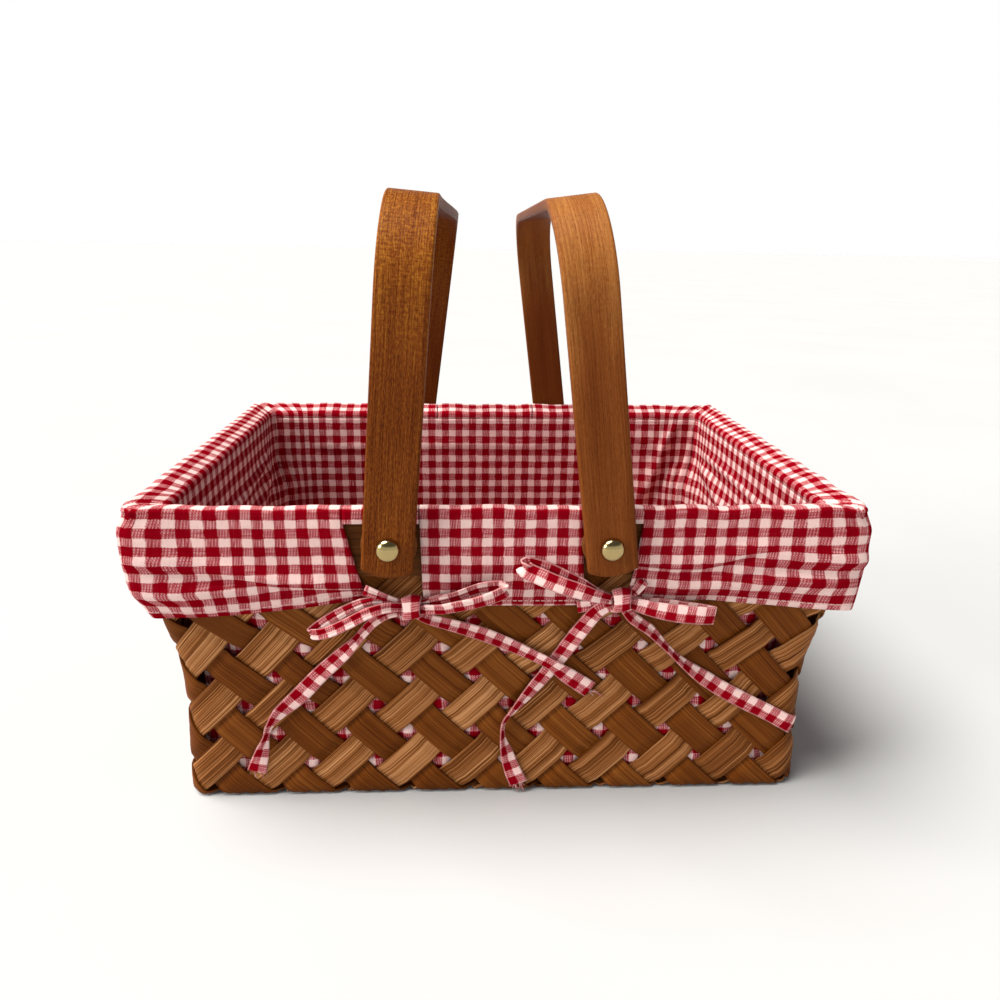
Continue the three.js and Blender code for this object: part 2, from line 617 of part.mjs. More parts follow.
// End cuff on the right: round the end from notch to notch, with a lip across each notch
function endCuff(pivot) {
  const half = NOTCH_TOP_WIDTH / 2;
  const edge = pivot + half;
  const longLength = longEnd(CUFF_OUTSIDE) - edge;
  const sideLength = 2 * sideEnd(CUFF_OUTSIDE);
  const walk = [];
  let along = 0;
  const step = (place, length, toNotch) => {
    along += length;
    walk.push({ place, hem: HEM_HEIGHT, fold: foldAt(along, toNotch), pull: -pullAt(toNotch) });
  };
  const longRun = evenShares(longLength);
  const sideRun = evenShares(sideLength);
  const longStep = longLength * longRun[1];
  const sideStep = sideLength * sideRun[1];
  const cornerStep = Math.PI / 2 / CORNER_STEPS;
  const cornerLength = cornerStep * RIM_CORNER_RADIUS;
  longRun.forEach((share) => step(onLongRun(-1, edge, share), longStep, share * longLength));
  for (let turn = 1; turn < CORNER_STEPS; turn++) {
    step(onRightCorner(-1, turn * cornerStep - Math.PI / 2), cornerLength, FOLD_FADE);
  }
  sideRun.forEach((share) => step(onRight(2 * share - 1), sideStep, FOLD_FADE));
  for (let turn = 1; turn < CORNER_STEPS; turn++) {
    step(onRightCorner(1, turn * cornerStep), cornerLength, FOLD_FADE);
  }
  longRun.reverse().forEach((share) => step(onLongRun(1, edge, share), longStep, share * longLength));
  const lipPlaces = [pivot - half + GAP, edge + CLOTH_THICKNESS];
  const lip = (places) => cuffSolid(places.map((place) => ({ place, hem: NOTCH_HEM, fold: 0, pull: 0 })));
  const frontLip = lip(lipPlaces.map((x) => onLongRun(-1, x, 0)));
  const backLip = lip(lipPlaces.reverse().map((x) => onLongRun(1, x, 0)));
  const flap = toSolid(cuffSolid(walk));
  return fromSolid(flap.add(toSolid(frontLip)).add(toSolid(backLip)));
}

// Centre cuff on the front, between two notches
function centreCuff(leftPivot, rightPivot) {
  const half = NOTCH_TOP_WIDTH / 2;
  const left = leftPivot + half;
  const right = rightPivot - half;
  const middle = (left + right) / 2;
  const walk = evenShares(right - left).map((share) => {
    const x = lerp(left, right, share);
    const toNotch = Math.min(x - left, right - x);
    const pull = pullAt(toNotch) * Math.sign(x - middle);
    return { place: onLongRun(-1, x, 0), hem: HEM_HEIGHT, fold: foldAt(x - left, toNotch), pull };
  });
  return cuffSolid(walk);
}

addMesh(basket, "right_end_cuff", endCuff(RIGHT_PIVOT), GINGHAM);
addMesh(basket, "left_end_cuff", endCuff(-LEFT_PIVOT).rotateZ(Math.PI), GINGHAM);
addMesh(basket, "front_centre_cuff", centreCuff(LEFT_PIVOT, RIGHT_PIVOT), GINGHAM);
addMesh(basket, "back_centre_cuff", centreCuff(-RIGHT_PIVOT, -LEFT_PIVOT).rotateZ(Math.PI), GINGHAM);

// Ties: two tapes meet under each handle leg in a bow, each with one loop and one hanging tail

// A flat tape along a curve; facing gives the way its flat side looks at a share of the length
function tape(curve, steps, widthAt, facing) {
  const outer = [];
  const inner = [];
  for (let step = 0; step <= steps; step++) {
    const share = step / steps;
    const point = curve.getPoint(share);
    const tangent = curve.getTangent(share);
    const across = facing(share).clone().cross(tangent).normalize();
    const normal = tangent.clone().cross(across).normalize();
    const half = widthAt(share) / 2;
    const side = (offset, layer) => {
      const aside = point.clone().addScaledVector(across, offset);
      return aside.addScaledVector(normal, (layer * TAPE_THICKNESS) / 2);
    };
    outer.push([side(-half, 1), side(half, 1)]);
    inner.push([side(-half, -1), side(half, -1)]);
  }
  return sheetSolid(outer, inner, false);
}

const OUTWARDS = new THREE.Vector3(0, -1, 0);

// The tie's sewn end, lying on the cuff beside its notch
function tieTab(side, height) {
  const rows = [-0.5, 0, 0.5].map((share) => height + share * TAPE_WIDTH);
  const columns = side < 0 ? [-TAB_REACH, -GAP] : [GAP, TAB_REACH];
  const skin = (layer) =>
    columns.map((x) => rows.map((z) => new THREE.Vector3(x, -cuffFace(z) - TAB_CLEARANCE - layer, z)));
  return sheetSolid(skin(TAPE_THICKNESS), skin(0), false);
}

// Course of a loop out to its tip and back behind itself, as shares of [length, depth, rise]
const LOOP_COURSE = [
  [0.35, 1, 0.35],
  [0.75, 1, 0.8],
  [1, 0.5, 1],
  [0.75, 0, 0.7],
  [0.35, 0, 0.25],
];

// A loop, narrow where the knot gathers it
function tieLoop(tip, height, out) {
  const root = new THREE.Vector3(Math.sign(tip.x) * (GAP + TAPE_THICKNESS), -out, height);
  const course = LOOP_COURSE.map(([length, depth, rise]) => {
    return new THREE.Vector3(tip.x * length, -out - LOOP_DEPTH * depth, height + tip.z * rise);
  });
  const curve = new THREE.CatmullRomCurve3([root, ...course, root]);
  const lengthways = new THREE.Vector3(tip.x, 0, tip.z).normalize();
  const across = OUTWARDS.clone().cross(lengthways);
  const facing = (share) => across.clone().cross(curve.getTangent(share)).negate();
  const width = (share) => TAPE_WIDTH * lerp(LOOP_ROOT_SHARE, 1, Math.sin(Math.PI * share));
  return tape(curve, LOOP_STEPS, width, facing);
}

// How far the wall's outer face stands from the rim plane at a height
function wallFace(height) {
  return wallReach(height, 0) - RIM_FLARE;
}

function tieTail(route, knotHeight) {
  const course = route.map(([aside, lift, share]) => {
    const height = share * knotHeight;
    const out = wallFace(height) + lift * KNOT_DEPTH;
    return new THREE.Vector3(aside * HANDLE_SPACING, -out, height);
  });
  const width = (share) => TAPE_WIDTH * lerp(TAIL_ROOT_SHARE, 1, smoothstep(share, 0, TAIL_FLAT));
  return tape(new THREE.CatmullRomCurve3(course), TAIL_STEPS, width, () => OUTWARDS);
}

// Both tapes of a bow in a wall frame at its pivot, as [left, right] geometries
function bowTapes(bow) {
  const face = cuffFace(bow.height);
  const loopOut = CUFF_OUTSIDE + FOLD_DEPTH + GAP + TAPE_THICKNESS;
  const knot = new THREE.SphereGeometry(0.5, ROUND_STEPS, EDGE_STEPS * 2);
  knot.rotateX(Math.PI / 2);
  knot.scale(KNOT_WIDTH, KNOT_DEPTH, KNOT_HEIGHT);
  knot.translate(0, -face - KNOT_DEPTH / 2, bow.height);
  const span = 2 * BODY_WIDTH;
  return [-1, 1].map((side, index) => {
    const half = new THREE.BoxGeometry(span, span, span);
    half.translate(side * (span / 2 + GAP / 2), 0, 0);
    let solid = toSolid(knot).intersect(toSolid(half));
    const pieces = [
      tieTab(side, bow.height),
      tieLoop(bow.loops[index], bow.height, loopOut),
      tieTail(bow.tails[index], bow.height),
    ];
    for (const piece of pieces) solid = solid.add(toSolid(piece));
    return fromSolid(solid).translate(bow.aside, 0, 0);
  });
}

// Tip of a loop from its knot, in shares of the handles' spacing
const tip = (aside, rise) => new THREE.Vector3(aside, 0, rise).multiplyScalar(HANDLE_SPACING);

// Tails as [aside from the knot, lift off the wall, height], which lie down on the wall. They are shares
// of the handles' spacing, of the knot's depth and of its height.
const LEFT_BOW = {
  aside: LEFT_KNOT_ASIDE,
  height: HEM_HEIGHT + LEFT_KNOT_RISE,
  loops: [tip(-0.444, -0.123), tip(0.448, 0.087)],
  tails: [
    [
      [-0.041, 1.1, 0.984],
      [-0.091, 1.37, 0.893],
      [-0.192, 0.78, 0.795],
      [-0.374, 0.33, 0.647],
      [-0.545, 0.2, 0.509],
      [-0.682, 0.2, 0.438],
      [-0.717, 0.2, 0.312],
      [-0.778, 0.2, 0.16],
    ],
    [
      [0.041, 1.1, 0.984],
      [0.112, 1.33, 0.912],
      [0.338, 0.88, 0.846],
      [0.533, 0.82, 0.758],
      [0.733, 0.84, 0.673],
      [0.923, 0.44, 0.562],
    ],
  ],
};
const RIGHT_BOW = {
  aside: RIGHT_KNOT_ASIDE,
  height: HEM_HEIGHT + RIGHT_KNOT_RISE,
  loops: [tip(-0.442, 0.192), tip(0.464, -0.055)],
  tails: [
    [
      [-0.041, 1.07, 0.984],
      [-0.082, 1.32, 0.905],
      [-0.196, 0.68, 0.754],
      [-0.313, 0.2, 0.625],
      [-0.46, 0.2, 0.43],
      [-0.514, 0.2, 0.315],
      [-0.421, 0.2, 0.085],
    ],
    [
      [0.041, 1.07, 0.984],
      [0.092, 1.33, 0.896],
      [0.194, 0.74, 0.797],
      [0.41, 0.28, 0.627],
      [0.574, 0.2, 0.527],
      [0.795, 0.2, 0.413],
      [0.95, 0.2, 0.353],
    ],
  ],
};

function addBow(place, frame, bow) {
  const [left, right] = bowTapes(bow);
  addMesh(frame, `bow_${place}_left_tape`, left, GINGHAM);
  addMesh(frame, `bow_${place}_right_tape`, right, GINGHAM);
}

addBow("front_left", frontFrame(LEFT_PIVOT), LEFT_BOW);
addBow("front_right", frontFrame(RIGHT_PIVOT), RIGHT_BOW);
addBow("back_right", backFrame(RIGHT_PIVOT), LEFT_BOW);
addBow("back_left", backFrame(LEFT_PIVOT), RIGHT_BOW);

export default basket;
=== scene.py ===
"""Looks of a picnic basket: plaited wooden strips, bent-wood handles on brass rivets, and a gingham liner
whose cuffs are tied over the rim with bows. Shapes are worked out in millimetres and made in metres."""

import math

import bpy
import numpy as np
from mathutils import Matrix, Vector


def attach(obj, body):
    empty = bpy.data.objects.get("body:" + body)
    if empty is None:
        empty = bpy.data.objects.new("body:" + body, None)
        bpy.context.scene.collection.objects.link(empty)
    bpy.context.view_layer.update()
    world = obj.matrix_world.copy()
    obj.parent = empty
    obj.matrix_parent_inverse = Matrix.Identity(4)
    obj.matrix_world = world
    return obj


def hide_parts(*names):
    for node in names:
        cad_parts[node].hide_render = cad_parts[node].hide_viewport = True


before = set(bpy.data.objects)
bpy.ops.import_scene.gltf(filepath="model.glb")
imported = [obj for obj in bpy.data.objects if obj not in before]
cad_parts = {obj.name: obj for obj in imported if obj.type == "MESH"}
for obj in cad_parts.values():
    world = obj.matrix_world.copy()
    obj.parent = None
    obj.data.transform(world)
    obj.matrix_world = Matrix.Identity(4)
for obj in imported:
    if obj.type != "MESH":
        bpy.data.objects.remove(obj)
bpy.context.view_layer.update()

MM = 0.001

# Body, in millimetres: half sizes at the foot and at the rim
FOOT_W, FOOT_D, FOOT_R = 156.0, 107.5, 10.0
RIM_W, RIM_D, RIM_R = 162.0, 113.5, 5.0
FLARE = 6.0
FLARE_FROM, FLARE_TO = 62.0, 124.0
FOOT_SPREAD = 1.6  # the strips stand out again towards the foot
EDGE_R = 2.5
EDGE_ARC = EDGE_R * math.pi / 2
WEAVE = 2.6
BODY_TOP = 154.5

# Plaiting: strips at 45 degrees either way, 32 of each round the body
STRIPS = 32
PITCH = 32.0
CROSSING = PITCH / math.sqrt(2)
STRIP_WIDTH = 16.0
STRIP_THICK = 0.85
FIRST_CROSSING = (-12.5, 15.9)  # along the front and up from the top of the rounded foot

# Handles and pivots
PIVOT_Z = 141.5
PIVOTS = {"left": -51.0, "right": 48.0}
LEANS = {"left": math.radians(4.6), "right": math.radians(-7.6)}
TWISTS = {"left": math.radians(2.8), "right": 0.0}
HANDLE_W, HANDLE_T = 23.0, 5.0
HANDLE_IN = 121.4
HANDLE_REACH, HANDLE_BEND, HANDLE_TAIL, HANDLE_CROWN = 149.5, 41.5, 13.0, 3.0
HANDLE_TIP, HANDLE_EDGE = 14.0, 1.15  # length of the rounded end, and the radius of the edges
SPACER_R = 12.5

# Cloth
CHECK_U, CHECK_V = 9.7, 8.65
CLOTH = 0.9
CUFF_OUT, CUFF_TOP, LIP_IN, LIP_FOOT = 5.3, 158.0, -9.3, 150.2
LIP_HEM, NOTCH_FOOT = 151.0, 110.0
NOTCH_RUN = 26.0  # how far along the rim a slanting notch edge draws the cloth
TAPE_W, TAPE = 8.8, 0.7

rng = np.random.default_rng(11)


# Numbers

def smooth(x, low, high):
    share = np.clip((np.asarray(x, float) - low) / (high - low), 0, 1)
    return share * share * (3 - 2 * share)


def mixed(a, b, share):
    return a + (b - a) * share


def unit(v):
    return v / np.maximum(np.linalg.norm(v, axis=-1, keepdims=True), 1e-9)


def layered(*parts):
    """Coordinates side by side, in a new last axis."""
    return np.stack(np.broadcast_arrays(*parts), axis=-1)


def catmull(points, count):
    """A smooth run of count rows through rows of control values."""
    p = np.asarray(points, float)
    p = np.vstack([2 * p[0] - p[1], p, 2 * p[-1] - p[-2]])
    at = np.linspace(0, len(p) - 3, count)
    i = np.minimum(at.astype(int), len(p) - 4)
    t = (at - i)[:, None]
    a, b, c, d = p[i], p[i + 1], p[i + 2], p[i + 3]
    return 0.5 * (2 * b + (c - a) * t + (2 * a - 5 * b + 4 * c - d) * t**2 + (3 * b - a - 3 * c + d) * t**3)


def wobble(x, y, seed, scale):
    """Smooth waves over two coordinates, about -1 to 1, the same each time."""
    r = np.random.default_rng(seed)
    total = 0
    for _ in range(6):
        angle, turn, size = r.uniform(0, 2 * math.pi), r.uniform(0, 2 * math.pi), r.uniform(0.6, 1.7)
        total = total + np.sin((x * math.cos(angle) + y * math.sin(angle)) * size / scale + turn)
    return total / 3


# Meshes

class Build:
    """Collects grids of points, in millimetres, into one mesh with UVs in metres and named values."""

    def __init__(self):
        self.points, self.uvs, self.faces, self.values = [], [], [], {}
        self.count = 0

    def grid(self, points, uv=None, flip=False, closed=False, **values):
        rows, cols = points.shape[:2]
        self.points.append(points.reshape(-1, 3))
        self.uvs.append((np.zeros((rows * cols, 2)) if uv is None else uv.reshape(-1, 2)) * MM)
        for name in sorted(set(self.values) | set(values)):
            had = self.values.setdefault(name, [np.zeros(self.count)])
            had.append(np.broadcast_to(values.get(name, 0.0), (rows, cols)).reshape(-1).astype(float))
        at = np.arange(rows * cols).reshape(rows, cols) + self.count
        if closed:
            at = np.vstack([at, at[:1]])
        quads = layered(at[:-1, :-1], at[1:, :-1], at[1:, 1:], at[:-1, 1:]).reshape(-1, 4)
        self.faces.append(quads[:, ::-1] if flip else quads)
        self.count += rows * cols

    def object(self, name, material, moved=None):
        points = np.concatenate(self.points)
        if moved is not None:
            points = moved(points)
        faces = np.concatenate(self.faces)
        mesh = bpy.data.meshes.new(name)
        mesh.from_pydata((points * MM).tolist(), [], faces.tolist())
        corner = np.zeros(len(mesh.loops), np.int32)
        mesh.loops.foreach_get("vertex_index", corner)
        layer = mesh.uv_layers.new(name="cloth")
        layer.data.foreach_set("uv", np.concatenate(self.uvs)[corner].astype(np.float32).ravel())
        for key, rows in self.values.items():
            made = mesh.attributes.new(key, "FLOAT", "POINT")
            made.data.foreach_set("value", np.concatenate(rows).astype(np.float32))
        mesh.polygons.foreach_set("use_smooth", np.full(len(mesh.polygons), True))
        mesh.materials.append(material)
        mesh.update()
        made = bpy.data.objects.new(name, mesh)
        bpy.context.scene.collection.objects.link(made)
        return made


def lathe(build, profile, centre, outward, sides=72):
    """Turns rows of [radius, out] about a line that leaves the wall at centre."""
    profile = np.asarray(profile, float)
    angle = np.linspace(0, 2 * math.pi, sides, endpoint=False)[:, None]
    out = np.asarray(outward, float)
    side = np.array([out[1], -out[0], 0.0])
    up = np.array([0.0, 0.0, 1.0])
    radius, along = profile[None, :, 0, None], profile[None, :, 1, None]
    turn = np.cos(angle)[..., None] * side + np.sin(angle)[..., None] * up
    points = np.asarray(centre, float) + turn * radius + out * along
    uv = layered(angle * profile[None, :, 0], profile[None, :, 1])
    build.grid(points, uv, closed=True)


def thicken(obj, thickness):
    """Gives a sheet its thickness, half of it to either side."""
    modifier = obj.modifiers.new("thickness", "SOLIDIFY")
    modifier.thickness = thickness * MM
    modifier.offset = 0.0
    modifier.use_even_offset = False


def dress(obj, body, slot, *nodes):
    """Lets a piece ride on a body and stand for CAD nodes."""
    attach(obj, body)
    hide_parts(*nodes)
    return obj


# Materials

class Shader:
    """A material built from nodes round one Principled shader."""

    def __init__(self, name, **fixed):
        self.material = bpy.data.materials.new(name)
        self.material.use_nodes = True
        self.tree = self.material.node_tree
        self.shader = self.tree.nodes["Principled BSDF"]
        for key, value in fixed.items():
            self.shader.inputs[key.replace("_", " ")].default_value = value

    def node(self, kind, *values, **settings):
        made = self.tree.nodes.new("ShaderNode" + kind)
        for key, value in settings.items():
            setattr(made, key, value)
        for socket, value in zip(made.inputs, values):
            self.put(socket, value)
        return made

    def put(self, socket, value):
        if isinstance(value, bpy.types.NodeSocket):
            self.tree.links.new(value, socket)
        elif value is not None:
            socket.default_value = value

    def math(self, operation, *values, clamp=False):
        return self.node("Math", *values, operation=operation, use_clamp=clamp).outputs[0]

    def plus(self, a, b, clamp=False):
        return self.math("ADD", a, b, clamp=clamp)

    def minus(self, a, b):
        return self.math("SUBTRACT", a, b)

    def times(self, a, b, clamp=False):
        return self.math("MULTIPLY", a, b, clamp=clamp)

    def scaled(self, a, by, plus, clamp=False):
        return self.math("MULTIPLY_ADD", a, by, plus, clamp=clamp)

    def value(self, name):
        return self.node("Attribute", attribute_name=name).outputs["Fac"]

    def uv(self):
        return self.node("SeparateXYZ", self.node("UVMap", uv_map="cloth").outputs[0]).outputs[:2]

    def vector(self, x, y, z=0.0):
        return self.node("CombineXYZ", x, y, z).outputs[0]

    def noise(self, vector, scale, detail=3.0, rough=0.55):
        made = self.node("TexNoise")
        self.put(made.inputs["Vector"], vector)
        made.inputs["Scale"].default_value = scale
        made.inputs["Detail"].default_value = detail
        made.inputs["Roughness"].default_value = rough
        return made.outputs[0]

    def streaks(self, u, per_u, v, per_v, detail, rough=0.55, slice_at=0.0):
        """Noise with its own scale along u and along v, in turns per metre."""
        return self.noise(self.vector(self.times(u, per_u), self.times(v, per_v), slice_at), 1, detail, rough)

    def ramp(self, factor, stops):
        made = self.node("ValToRGB", factor)
        ramp = made.color_ramp
        while len(ramp.elements) < len(stops):
            ramp.elements.new(0.5)
        for element, (place, colour) in zip(ramp.elements, stops):
            element.position = place
            element.color = (*colour, 1)
        return made.outputs[0]

    def mix(self, factor, a, b, blend="MIX"):
        made = self.node("Mix", data_type="RGBA", blend_type=blend)
        for socket, value in zip((made.inputs[0], made.inputs[6], made.inputs[7]), (factor, a, b)):
            if isinstance(value, tuple):
                value = (*value, 1)
            self.put(socket, value)
        return made.outputs[2]

    def bump(self, height, distance, strength=1.0):
        made = self.node("Bump")
        made.inputs["Strength"].default_value = strength
        made.inputs["Distance"].default_value = distance
        self.put(made.inputs["Height"], height)
        self.put(self.shader.inputs["Normal"], made.outputs[0])

    def finish(self, colour, roughness=None):
        self.put(self.shader.inputs["Base Color"], colour)
        if roughness is not None:
            self.put(self.shader.inputs["Roughness"], roughness)
        return self.material


WOOD_GLOSS = 0.05

# Gingham from white threads only, through both, to red threads only
CHECKED = [
    (0.0, (0.80, 0.56, 0.52)),
    (0.22, (0.68, 0.36, 0.345)),
    (0.5, (0.41, 0.088, 0.098)),
    (0.75, (0.27, 0.016, 0.024)),
    (1.0, (0.225, 0.0004, 0.0055)),
]


def gingham(name, phase_v, check=(CHECK_U, CHECK_V), stitch=3.0, dashes=0.72, sewing=0.75, bright=1.0):
    """Checked cotton: red and white threads both ways, slubs, and a sewn line along the hem.

    Stitch is the line's distance from the hem in millimetres, dashes is the length of its stitches and sewing
    is their strength.
    """
    s = Shader(name, Roughness=0.9, Specular_IOR_Level=0.0)
    u, v = s.uv()
    place = s.vector(u, v)
    drift = s.times(s.minus(s.noise(place, 160, 2), 0.5), 0.0011)
    ragged = s.times(s.minus(s.noise(place, 1500, 2), 0.5), 0.0009)
    drift = s.plus(drift, ragged)

    def stripes(along, size, phase):
        turns = s.scaled(s.plus(along, drift), 1 / (size * MM), phase)
        off = s.math("ABSOLUTE", s.minus(s.math("FRACT", turns), 0.5))
        return s.scaled(s.minus(0.26, off), size / 0.5, 0.5, clamp=True)

    warp, weft = stripes(u, check[0], 0.0), stripes(v, check[1], phase_v)
    slub_u = s.streaks(u, 1100, v, 70, 2)
    slub_v = s.streaks(u, 70, v, 1300, 2)
    thread = 2 * math.pi / (1.15 * MM)
    slant = s.scaled(v, 0.13, u)
    wave_u = s.math("SINE", s.scaled(slub_u, 5.0, s.times(slant, thread)))
    wave_v = s.math("SINE", s.times(v, thread))
    over = s.scaled(wave_u, 0.13, 0.5)
    over = s.scaled(s.times(wave_u, wave_v), 0.14, over)
    over = s.plus(over, s.times(s.minus(slub_u, slub_v), 0.5), clamp=True)
    red = s.scaled(s.minus(warp, weft), over, weft)
    slubs = s.plus(s.minus(slub_u, 0.5), s.minus(slub_v, 0.5))
    red = s.scaled(slubs, 0.2, red, clamp=True)
    cloth = s.ramp(red, CHECKED)
    worn = s.scaled(s.noise(place, 45, 3), 0.30 * bright, 0.73 * bright)
    worn = s.scaled(s.noise(place, 1900, 2), 0.24 * bright, worn)
    cloth = s.mix(1.0, cloth, s.vector(worn, worn, worn), "MULTIPLY")
    seam = s.math("COMPARE", s.value("hem"), stitch * MM, 0.00032)
    dash = s.math("LESS_THAN", s.math("FRACT", s.times(u, 1 / (2.6 * MM))), dashes)
    sewn = s.times(seam, dash)
    cloth = s.mix(s.times(sewn, sewing), cloth, (0.74, 0.45, 0.42))
    height = s.plus(s.times(wave_u, wave_v), s.times(slubs, 2.5))
    height = s.minus(height, s.times(seam, 2.5))
    s.bump(height, 0.00012, 0.8)
    return s.finish(cloth)


def strip_wood(name, stops, lines):
    """Thin plaited wood, its grain running along the strip."""
    s = Shader(name, Specular_IOR_Level=WOOD_GLOSS)
    u, v = s.uv()
    tone = s.value("tone")
    fibre = s.streaks(u, 7, v, 1900, 3, 0.7, tone)
    ribs = s.streaks(u, 3, v, 620, 2, 0.5, tone)
    broad = s.streaks(u, 14, v, 170, 3, 0.5, tone)
    line = s.plus(s.times(fibre, 0.85), s.times(ribs, 0.15))
    line = s.scaled(s.minus(line, 0.5), 2.2 * lines, 0.5)
    grain = s.scaled(s.minus(broad, 0.5), 0.25, line)
    grain = s.scaled(s.minus(tone, 0.5), 0.34, grain)
    colour = s.ramp(grain, stops)
    # Painted shade, partly dirt: the colour darkens towards near black-brown along the strip's edges and all
    # over its sides, where the neighbouring strips shade it.
    edge = s.value("edge")
    dark = s.times(s.times(s.minus(edge, 0.9), 8), 0.5, clamp=True)
    colour = s.mix(dark, colour, (0.060, 0.013, 0.001))
    rough = s.scaled(fibre, 0.35, 0.34)
    s.bump(s.plus(fibre, ribs), 0.0006, 0.7)
    return s.finish(colour, rough)


def handle_wood(name, stops, lines, flecks, figure, pale):
    """Bent wood with its grain along the strip: lines are long fibres, flecks short rays.

    Figure is the ripple of the bends and pale is light painted on them, and the inner face gets painted
    shade.
    """
    s = Shader(name, Specular_IOR_Level=WOOD_GLOSS)
    u, v = s.uv()
    waver = s.streaks(u, 18, v, 90, 2)
    across = s.scaled(s.minus(waver, 0.5), 0.0022, v)
    bend = s.value("bend")
    fibre = s.streaks(u, 22, across, 1500, 4, 0.6)
    pore = s.streaks(u, 130, across, 2600, 2, 0.6)
    fleck = s.streaks(u, 520, across, 1700, 2, 0.5)
    broad = s.streaks(u, 9, across, 110, 3, 0.5)
    ripple = s.streaks(u, 980, across, 270, 2, 0.6)
    grain = s.plus(s.times(fibre, lines), s.times(broad, 1 - lines))
    grain = s.plus(grain, s.times(s.minus(fleck, 0.5), flecks))
    # Painted light: pale lightens the bends, where they turn up towards the light from above.
    grain = s.scaled(bend, pale, grain)
    rippled = s.times(s.times(s.minus(ripple, 0.5), bend), figure)
    grain = s.plus(grain, rippled)
    colour = s.ramp(grain, stops)
    dark = s.times(s.math("GREATER_THAN", pore, 0.62), 0.35)
    colour = s.mix(dark, colour, tuple(0.35 * c for c in stops[0][1]))
    # Painted shade: the inner face darkens towards the darkest stop, as it faces away from the light.
    colour = s.mix(s.times(s.value("inner"), 0.5), colour, stops[0][1])
    rough = s.scaled(fibre, 0.2, 0.36)
    height = s.plus(fibre, s.times(fleck, 2.2 * flecks))
    height = s.scaled(rippled, 3.0, height)
    s.bump(s.minus(height, s.times(dark, 1.2)), 0.0003, 0.5)
    return s.finish(colour, rough)


def board_wood(name, stops):
    """Dark stained board, grain along the long side, placed by the piece's own coordinates."""
    s = Shader(name, Specular_IOR_Level=WOOD_GLOSS)
    where = s.node("SeparateXYZ", s.node("TexCoord").outputs["Object"]).outputs
    along = s.plus(where[0], where[1])
    fibre = s.streaks(along, 18, where[2], 900, 4, 0.6)
    colour = s.ramp(fibre, stops)
    s.bump(fibre, 0.0004, 0.5)
    return s.finish(colour, s.scaled(fibre, 0.3, 0.4))


def metal(name, colour, worn, roughness, scale):
    """Polished metal with fine worn marks."""
    s = Shader(name, Metallic=1.0)
    place = s.node("TexCoord").outputs["Object"]
    mark = s.noise(place, scale, 4, 0.6)
    tint = s.mix(s.times(mark, 0.5), colour, worn)
    rough = s.scaled(mark, 0.12, roughness)
    s.bump(mark, 0.00003, 0.25)
    return s.finish(tint, rough)


LIGHT_STRIP = [
    (0.20, (0.078, 0.020, 0.002)),
    (0.42, (0.190, 0.060, 0.012)),
    (0.58, (0.320, 0.118, 0.034)),
    (0.80, (0.560, 0.270, 0.110)),
]
DARK_STRIP = [
    (0.20, (0.060, 0.012, 0.0006)),
    (0.42, (0.125, 0.031, 0.0025)),
    (0.60, (0.200, 0.059, 0.0085)),
    (0.82, (0.320, 0.118, 0.0260)),
]
LEFT_WOOD = [
    (0.28, (0.052, 0.008, 0.0005)),
    (0.44, (0.120, 0.026, 0.0025)),
    (0.60, (0.195, 0.051, 0.0060)),
    (0.82, (0.360, 0.132, 0.0130)),
]
RIGHT_WOOD = [
    (0.28, (0.092, 0.019, 0.0025)),
    (0.44, (0.145, 0.035, 0.0055)),
    (0.60, (0.200, 0.055, 0.0098)),
    (0.82, (0.360, 0.142, 0.0350)),
]
BAND_WOOD = [
    (0.25, (0.048, 0.013, 0.002)),
    (0.55, (0.118, 0.038, 0.008)),
    (0.85, (0.200, 0.075, 0.020)),
]
SPACER_WOOD = [
    (0.25, (0.080, 0.022, 0.004)),
    (0.55, (0.170, 0.056, 0.012)),
    (0.85, (0.270, 0.105, 0.030)),
]
up_wood = strip_wood("strip_wood_light", LIGHT_STRIP, 1.0)
down_wood = strip_wood("strip_wood_dark", DARK_STRIP, 0.55)
handle_woods = {
    "left": handle_wood("left_handle_wood", LEFT_WOOD, 0.75, 0.55, 0.6, 0.13),
    "right": handle_wood("right_handle_wood", RIGHT_WOOD, 0.52, 0.24, 0.12, 0.25),
}
band_wood = board_wood("band_wood", BAND_WOOD)
spacer_wood = board_wood("spacer_wood", SPACER_WOOD)
brass = metal("brass", (0.47, 0.36, 0.16), (0.32, 0.23, 0.09), 0.10, 900)
steel = metal("nail_steel", (0.55, 0.55, 0.53), (0.40, 0.38, 0.35), 0.3, 700)
liner_cloth = gingham("liner_gingham", 0.095)
tape_cloth = gingham("tape_gingham", 0.25, (9.4, 8.8), stitch=0.3, dashes=1.0, sewing=0.35, bright=1.25)


# Plaited body

def around(share, half_w, half_d, radius):
    """Point and outward direction at a share of the way round a rounded rectangle.

    The way starts in the middle of the front and goes towards +X.
    """
    share, w, d, r = np.broadcast_arrays(share, half_w, half_d, radius)
    a, b, q = w - r, d - r, r * math.pi / 2
    s = (share % 1.0) * 4 * (a + b + q)
    ends = np.cumsum(np.stack([a, q, 2 * b, q, 2 * a, q, 2 * b, q, a]), axis=0)
    starts = np.concatenate([np.zeros_like(ends[:1]), ends[:-1]])
    part = np.minimum((s[None] >= ends).sum(0), 8)
    local = s - np.take_along_axis(starts, part[None], 0)[0]
    zero = np.zeros_like(s)
    angle = math.pi / 2 * (part // 2 - 1) + local / np.maximum(r, 1e-6)
    turned = part % 2 == 1
    cx = np.where((part == 1) | (part == 3), a, -a)
    cy = np.where((part == 1) | (part == 7), -b, b)
    sides = [part == i for i in (0, 2, 4, 6, 8)]
    x = np.select(sides, [local, w, a - local, -w, local - a], cx + r * np.cos(angle))
    y = np.select(sides, [-d, local - b, d, b - local, -d], cy + r * np.sin(angle))
    nx = np.where(turned, np.cos(angle), np.select(sides, [zero, zero + 1, zero, zero - 1, zero]))
    ny = np.where(turned, np.sin(angle), np.select(sides, [zero - 1, zero, zero + 1, zero, zero - 1]))
    return x, y, nx, ny


